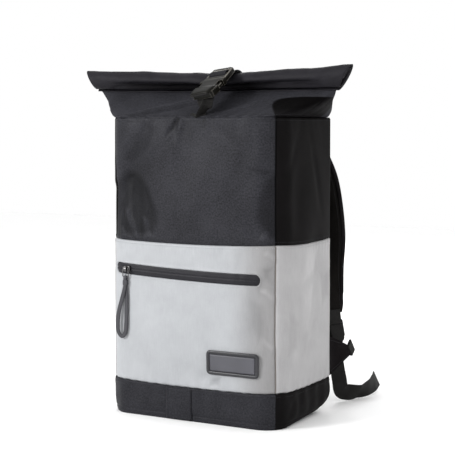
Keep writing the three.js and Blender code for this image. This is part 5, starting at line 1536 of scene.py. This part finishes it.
def puff(obj, voxel, cap, pressure):
    """Stuffs a closed cloth form: remeshed evenly, then swollen by cloth simulation up to a cap."""
    even = obj.modifiers.new("even", "REMESH")
    even.mode = "VOXEL"
    even.voxel_size = voxel * MM
    settle(obj)
    count = len(obj.data.vertices)
    rest = np.empty(count * 3)
    obj.data.vertices.foreach_get("co", rest)
    cloth = obj.modifiers.new("cloth", "CLOTH")
    cloth.settings.quality = 4
    cloth.settings.mass = 0.3
    cloth.settings.use_pressure = True
    cloth.settings.uniform_pressure_force = pressure
    cloth.settings.effector_weights.gravity = 0
    cloth.point_cache.frame_start = 1
    cloth.point_cache.frame_end = PUFF_FRAMES
    for step in range(1, PUFF_FRAMES + 1):
        scene.frame_set(step)
    swollen = obj.evaluated_get(bpy.context.evaluated_depsgraph_get())
    moved = np.empty(count * 3)
    swollen.data.vertices.foreach_get("co", moved)
    obj.modifiers.clear()
    shift = (moved - rest).reshape(-1, 3)
    far = np.linalg.norm(shift, axis=1, keepdims=True)
    shift = shift * np.minimum(1, cap * MM / np.maximum(far, 1e-9))
    obj.data.vertices.foreach_set("co", rest + shift.ravel())
    scene.frame_set(1)
    finer = obj.modifiers.new("finer", "SUBSURF")
    finer.levels = finer.render_levels = 1
    settle(obj)
    obj.data.polygons.foreach_set("use_smooth", np.ones(len(obj.data.polygons), dtype=bool))
    return obj


def back_panel():
    part = np.linspace(-1, 1, 41)
    ease = np.sin(part * math.pi / 2)
    middle = (LEVEL["boot"] + LEVEL["seam"]) / 2
    x, z = np.meshgrid(ease * (BACK_HALF - 1.5), middle + ease * BACK_HALF_TALL)
    outer = np.stack([x, back_skin(x, z) - 0.6, z], -1)
    inner = np.stack([x, np.full(x.shape, SIDE_BACK + GAP + 0.8), z], -1)
    rows, columns = x.shape
    faces = [face[::-1] for face in grid_faces(rows, columns)]
    faces += [[k + rows * columns for k in face] for face in grid_faces(rows, columns)]
    index = np.arange(rows * columns).reshape(rows, columns)
    rim = np.concatenate([index[0, :-1], index[:-1, -1], index[-1, :0:-1], index[:0:-1, 0]])
    after = np.roll(rim, -1)
    faces += [[a, b, b + rows * columns, a + rows * columns] for a, b in zip(rim.tolist(), after.tolist())]
    points = np.concatenate([outer.reshape(-1, 3), inner.reshape(-1, 3)])
    obj = face_outwards(mesh_object("back_panel_pad", points, faces))
    puff(obj, voxel=4.2, cap=2.2, pressure=4)
    for vert in obj.data.vertices:
        x, y, z = vert.co / MM
        if y > SIDE_BACK + GAP + 3:
            channel = bell((abs(x) - CHANNEL_ASIDE) / CHANNEL_HALF)
            if abs(x) < CHANNEL_ASIDE:
                channel = channel + bell((z - CHANNEL_UP) / CHANNEL_HALF)
            vert.co.y -= CHANNEL_DEEP * min(channel, 1) * MM
        vert.co.y = max(vert.co.y, (SIDE_BACK + GAP) * MM)
    finish_piece(obj, BACK_CLOTH, "padded_cloth", "back_panel")


back_panel()
front_strap()
back_strap()

StrapRow = namedtuple("StrapRow", "x y z width thick turn")
STRAP_ROWS = [
    StrapRow(70, 96.2, 424, 52, 7, 0), StrapRow(76, 119, 402, 58, 11, 0), StrapRow(85, 141, 372, 62, 12, 0),
    StrapRow(90, 156, 342, 63, 12, 0), StrapRow(96, 161, 296, 64, 12, 0), StrapRow(101, 157, 248, 64, 12, 4),
    StrapRow(104, 146, 200, 60, 12, 16), StrapRow(114, 136, 167, 52, 10, 40),
    StrapRow(125.4, 128.4, 149, 40, 7, 60), StrapRow(128.4, 126.6, 137, 33, 4.5, 66),
]
STRAP_SIDES = 36
# Binding along the strap's edges: inset of its middle, half width, thickness it stops growing at, share of it
BINDING_IN, BINDING_HALF, BINDING_MOST, BINDING_SHARE = 2.6, 3.4, 8.5, 0.44
# Distance of the strap's stitches from its edges
STRAP_STITCH_IN = 7


def powered(value, power):
    """A power that keeps the sign."""
    return np.sign(value) * np.abs(value) ** power


def shoulder_strap():
    per_span = 9
    line, runs = smooth_line([(row.x, row.y, row.z) for row in STRAP_ROWS], per_span)
    turn = np.radians(spread([row.turn for row in STRAP_ROWS], per_span))
    width = spread([row.width for row in STRAP_ROWS], per_span)
    thick = spread([row.thick for row in STRAP_ROWS], per_span)
    across, out = square_to(np.stack([np.cos(turn), np.sin(turn), 0 * turn], 1), runs)
    angle = 2 * math.pi * (np.arange(STRAP_SIDES) + 0.5) / STRAP_SIDES
    wide = powered(np.cos(angle), 0.5)[None] * (width[:, None] / 2 - 1.0)
    deep = powered(np.sin(angle), 0.7)[None] * (thick[:, None] / 2 - 0.9)
    rings = line[:, None] + across[:, None] * wide[..., None] + out[:, None] * deep[..., None]
    obj = loft_object("shoulder_strap_pad_right", rings)
    puff(obj, voxel=2.6, cap=1.3, pressure=4)
    edges = []
    for side in (-1, 1):
        centre = line + across * (side * (width[:, None] / 2 - BINDING_IN))
        reach_wide = BINDING_HALF * np.cos(angle)[None] + 0 * thick[:, None]
        reach_deep = np.sin(angle)[None] * (np.minimum(thick, BINDING_MOST)[:, None] * BINDING_SHARE)
        binding = centre[:, None] + across[:, None] * reach_wide[..., None]
        binding = binding + out[:, None] * reach_deep[..., None]
        edges.append(binding[2:-2])
    pieces = [obj] + [loft_object(f"strap_binding_{k}_right", rings) for k, rings in enumerate(edges)]
    paths = []
    for side in (-1, 1):
        edge = line + across * (side * (width[:, None] / 2 - STRAP_STITCH_IN))
        for way in (-1, 1):
            path = edge + out * (way * (thick[:, None] / 2 + 0.15))
            paths.append(path[4:-8])
    return pieces, paths


strap_pieces, strap_paths = shoulder_strap()
for piece in strap_pieces:
    other = mirror_copy(piece, piece.name.replace("_right", "_left"))
    for obj, side in ((piece, "right"), (other, "left")):
        if obj.name.startswith("shoulder_strap_pad"):
            finish_piece(obj, PADDED_CLOTH, "padded_cloth", f"shoulder_strap_{side}")
        else:
            finish_piece(obj, TAB_CLOTH, "padded_cloth")
flip = np.array([-1, 1, 1])
for side, turn in (("right", 1), ("left", flip)):
    turned = [path * turn for path in strap_paths]
    beads_on_paths(f"shoulder_strap_stitches_{side}", turned, STITCH_PITCH, STITCH, DARK_THREAD)


# Ladder locks, lower webbing and side tabs

LOCK_AT, LOCK_TURN, LOCK_LEAN, LOCK_THICK = np.array([133, 124.2, 116.5]), 66, -15, 4.5
LOCK_SLOTS = [(3, 10), (-9, -2)]
WEB_WIDTH, WEB_THICK = 25, 1.4
LOCK_FACE = LOCK_THICK / 2 + GAP + WEB_THICK / 2
LOCK_ACROSS = np.array([math.cos(math.radians(LOCK_TURN)), math.sin(math.radians(LOCK_TURN)), 0])
LOCK_UP = math.cos(math.radians(LOCK_LEAN)) * np.array([0, 0, 1.0]) \
    + math.sin(math.radians(LOCK_LEAN)) * np.cross(LOCK_ACROSS, [0, 0, 1.0])
LOCK_OUT = np.cross(LOCK_ACROSS, LOCK_UP)


def lock_row(up, out):
    return LOCK_AT + LOCK_UP * up + LOCK_OUT * out, LOCK_ACROSS


# Webbing bent over a lock's bar: distance back from the turn, distance in from the lock's face
LOCK_BEND = [(3, 0), (0.9, 0.2), (-0.2, 1.6)]


def lock_bend(turn, way, first):
    def leg(side):
        return [lock_row(turn + way * back, side * (LOCK_FACE - into)) for back, into in LOCK_BEND]

    return leg(first) + [lock_row(turn - way * 0.3, 0)] + leg(-first)[::-1]


def lock_loop_rows():
    turn = LOCK_SLOTS[0][1] - 1.6 * GAP - WEB_THICK / 2 - 1.9
    legs = [(28, 1.6), (20, 0.6)]
    inner = [lock_row(up, -LOCK_FACE - spread_out) for up, spread_out in legs]
    outer = [lock_row(up, LOCK_FACE + spread_out) for up, spread_out in legs]
    return inner + lock_bend(turn, 1, -1) + outer[::-1]


def lower_webbing_rows():
    turn = LOCK_SLOTS[0][0] + GAP + WEB_THICK / 2 + 0.9
    load = [
        ((141.8, 110.5, 71), (0, 0.94, -0.33)), ((141.6, 115, 84), (0, 0.94, -0.33)),
        ((139.4, 118.6, 94.5), (0.03, 0.94, -0.28)),
    ]
    tail = [
        ((132.2, 126, 86), (0.42, 0.9, 0)), ((132.5, 132.5, 62), (0.5, 0.86, 0.05)),
        ((132.8, 141, 36), (0.6, 0.78, 0.15)), ((133.5, 149, 17.5), (0.6, 0.55, 0.6)),
        ((139.5, 161, 13.4), (0.1, 0.06, 0.99)), ((148.5, 181, 12), (0.3, -0.5, 0.8)),
        ((154.5, 203, 14.6), (0.05, 0, 1)), ((153, 228, 17.6), (-0.3, 0.1, 0.95)),
        ((147, 252, 20.6), (-0.4, 0.1, 0.9)),
    ]
    rows = [(np.array(at), np.array(wide)) for at, wide in load]
    rows += [lock_row(-14, LOCK_FACE + 0.6), lock_row(-6, LOCK_FACE + 0.1)]
    rows += lock_bend(turn, -1, 1)
    rows += [lock_row(-8, -LOCK_FACE - 0.15), lock_row(-17, -LOCK_FACE - 0.9)]
    return rows + [(np.array(at), np.array(wide)) for at, wide in tail]


def both_sides(obj, material, slot, node):
    """Finishes a right-hand piece and its mirror image on the left."""
    left = mirror_copy(obj, obj.name.replace("_right", "_left"))
    finish_piece(obj, material, slot, node + "_right")
    finish_piece(left, material, slot, node + "_left")


loop, _, _, _ = woven_band("lock_loop_webbing_right", lock_loop_rows(), WEB_WIDTH, WEB_THICK)
both_sides(loop, WEBBING, "webbing", "lock_loop")
lower, _, _, _ = woven_band("lower_webbing_band_right", lower_webbing_rows(), WEB_WIDTH, WEB_THICK)
both_sides(lower, WEBBING, "webbing", "lower_webbing")
for side in ("right", "left"):
    rounded_copy(f"ladder_lock_{side}", f"ladder_lock_frame_{side}", 0.6, BUCKLE_PLASTIC, "buckle_plastic")

TAB_INNER, TAB_THICK, TAB_TALL, TAB_LONG = 143.2, 2.4, 40, 75
TAB_LOOP_WIDTH, TAB_LOOP_LENGTH = 23, 14
# The tab's two layers meet at its turned edges within this, in metres
TAB_MERGE = 1e-5
TAB_CORNERS = np.array([(81.9, 53), (157, 73), (141, 91.5), (81.9, 112)])


def side_tab():
    """Doubled triangular cloth tab with turned edges."""
    columns, rows = 40, 30
    u, v = np.meshgrid(np.linspace(0, 1, columns), np.linspace(0, 1, rows))
    low = mix(TAB_CORNERS[0], TAB_CORNERS[1], u[..., None])
    high = mix(TAB_CORNERS[3], TAB_CORNERS[2], u[..., None])
    plan = mix(low, high, v[..., None])
    edge = np.minimum(np.minimum(v, 1 - v) * TAB_TALL, (1 - u) * TAB_LONG)
    puffed = TAB_THICK / 2 * np.sqrt(np.clip(1 - (1 - share(edge, 0, 1.6)) ** 2, 0, 1))
    ridge = 0.35 * bell((edge - 3.4) / 1.2)
    wave = 0.5 * soft_noise(plan[..., 0], plan[..., 1], 22, 51) * smooth(edge, 0, 8)
    middle = TAB_INNER + TAB_THICK / 2
    outer = np.concatenate([(middle + puffed - ridge + wave * 0.5)[..., None], plan], -1)
    inner = np.concatenate([(middle - puffed + ridge + wave * 0.1)[..., None], plan], -1)
    faces = grid_faces(rows, columns)
    faces = faces + [[k + rows * columns for k in face[::-1]] for face in faces]
    index = np.arange(rows * columns).reshape(rows, columns)
    back_edge = index[:, 0].tolist()
    faces += [[a, b, b + rows * columns, a + rows * columns] for a, b in zip(back_edge[1:], back_edge)]
    points = np.concatenate([outer.reshape(-1, 3), inner.reshape(-1, 3)])
    obj = face_outwards(mesh_object("side_tab_cloth_right", points, faces), TAB_MERGE)
    both_sides(obj, TAB_CLOTH, "webbing", "side_tab")
    inset = [3, rows - 4]
    paths = [outer[row, 2:-3] + np.array([0.1, 0, 0]) for row in inset]
    for side, turn in (("right", 1), ("left", flip)):
        turned = [path * turn for path in paths]
        beads_on_paths(f"side_tab_stitches_{side}", turned, FINE_PITCH, STITCH, DARK_THREAD)


side_tab()


def tab_loop_rows():
    low, high = TAB_CORNERS[1], TAB_CORNERS[2]
    wide = unit([0, low[0] - high[0], low[1] - high[1]])
    out = np.array([0, -wide[2], wide[1]])
    middle = np.array([TAB_INNER + TAB_THICK / 2, *(low + high) / 2]) + wide * 5
    radius, length = WEB_THICK / 2 + GAP, TAB_LOOP_LENGTH
    fold = [(0.4, 1), (length - 1.6, 1.2), (length - 0.3, 0.8), (length, 0)]

    def row(far, aside):
        return middle + out * far + np.array([aside * radius, 0, 0]), wide

    return [row(far, aside) for far, aside in fold] + [row(far, -aside) for far, aside in fold[-2::-1]]


fold_piece, _, _, _ = woven_band("tab_loop_webbing_right", tab_loop_rows(), TAB_LOOP_WIDTH, WEB_THICK)
both_sides(fold_piece, WEBBING, "webbing", "tab_loop")


# Stage: pale floor, soft studio light, the photograph's camera

FLOOR_HALF = 3500
CAMERA_AT, CAMERA_PITCH, CAMERA_YAW = (0.9449, -1.6199, 0.4152), 87.467, 29.814
SENSOR_WIDTH, LENS, LENS_SHIFT = 36, 100.69, -0.088
OVERHEAD_POWER, OVERHEAD_SPREAD = 2.3, 110
# Soft lights aimed at the bag's middle: place and size in metres, power in watts
AIM_AT = np.array([0, 0, 0.25])
Softbox = namedtuple("Softbox", "name place size power")
SOFTBOXES = [
    Softbox("key_softbox", (-1.75, -2.5, 1.4), 0.9, 82),
    Softbox("right_fill", (2.4, -0.8, 1.0), 1.2, 10),
    Softbox("back_fill", (-0.9, 2.6, 1.3), 1.4, 40),
]


def stage():
    half = FLOOR_HALF
    corners = [(-half, -half, 0), (half, -half, 0), (half, half, 0), (-half, half, 0)]
    floor = mesh_object("studio_floor", corners, [[0, 1, 2, 3]])
    material, tree, shader = new_material("painted_studio_floor", 0.9)
    coords = add_node(tree, "ShaderNodeTexCoord")
    patch = add_node(tree, "ShaderNodeTexNoise", {"Scale": 2.0, "Detail": 3.0},
                     {"Vector": coords.outputs["Object"]})
    colour = add_node(tree, "ShaderNodeMix", {
        "data_type": "RGBA", 6: linear("#f6f6f6"), 7: linear("#fafafa"),
    }, {0: patch.outputs["Fac"]})
    tree.links.new(colour.outputs[2], shader.inputs["Base Color"])
    floor.data.materials.append(material)
    floor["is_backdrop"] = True

    world = bpy.data.worlds.new("studio")
    scene.world = world
    world.use_nodes = True
    tree = world.node_tree
    background = next(node for node in tree.nodes if node.type == "BACKGROUND")
    background.inputs["Color"].default_value = (1, 1, 1, 1)
    direction = add_node(tree, "ShaderNodeTexCoord")
    height = add_node(tree, "ShaderNodeSeparateXYZ", links={"Vector": direction.outputs["Generated"]})
    sweep = add_node(tree, "ShaderNodeMapRange", {
        "interpolation_type": "SMOOTHSTEP", "From Min": 0.12, "From Max": 0.35, "To Min": 1.0, "To Max": 0.25,
    }, {"Value": height.outputs["Z"]})
    tree.links.new(sweep.outputs["Result"], background.inputs["Strength"])

    overhead = bpy.data.lights.new("overhead_diffuser", "SUN")
    overhead.energy = OVERHEAD_POWER
    overhead.angle = math.radians(OVERHEAD_SPREAD)
    scene.collection.objects.link(bpy.data.objects.new("overhead_diffuser", overhead))
    for name, place, size, power in SOFTBOXES:
        data = bpy.data.lights.new(name, "AREA")
        data.size = size
        data.energy = power
        lamp = bpy.data.objects.new(name, data)
        lamp.location = place
        aim = AIM_AT - np.array(place)
        yaw = math.atan2(aim[1], aim[0])
        pitch = math.atan2(np.hypot(aim[0], aim[1]), -aim[2])
        lamp.rotation_euler = (pitch, 0, yaw - math.pi / 2)
        scene.collection.objects.link(lamp)

    lens = bpy.data.cameras.new("photo_camera")
    lens.sensor_width = SENSOR_WIDTH
    lens.lens = LENS
    lens.shift_y = LENS_SHIFT
    camera = bpy.data.objects.new("photo_camera", lens)
    camera.location = CAMERA_AT
    camera.rotation_euler = (math.radians(CAMERA_PITCH), 0, math.radians(CAMERA_YAW))
    scene.collection.objects.link(camera)
    scene.camera = camera
    scene.view_settings.view_transform = "Standard"


stage()

made_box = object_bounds()
{"cad": [list(corner) for corner in cad_box], "visual": [list(corner) for corner in made_box]}
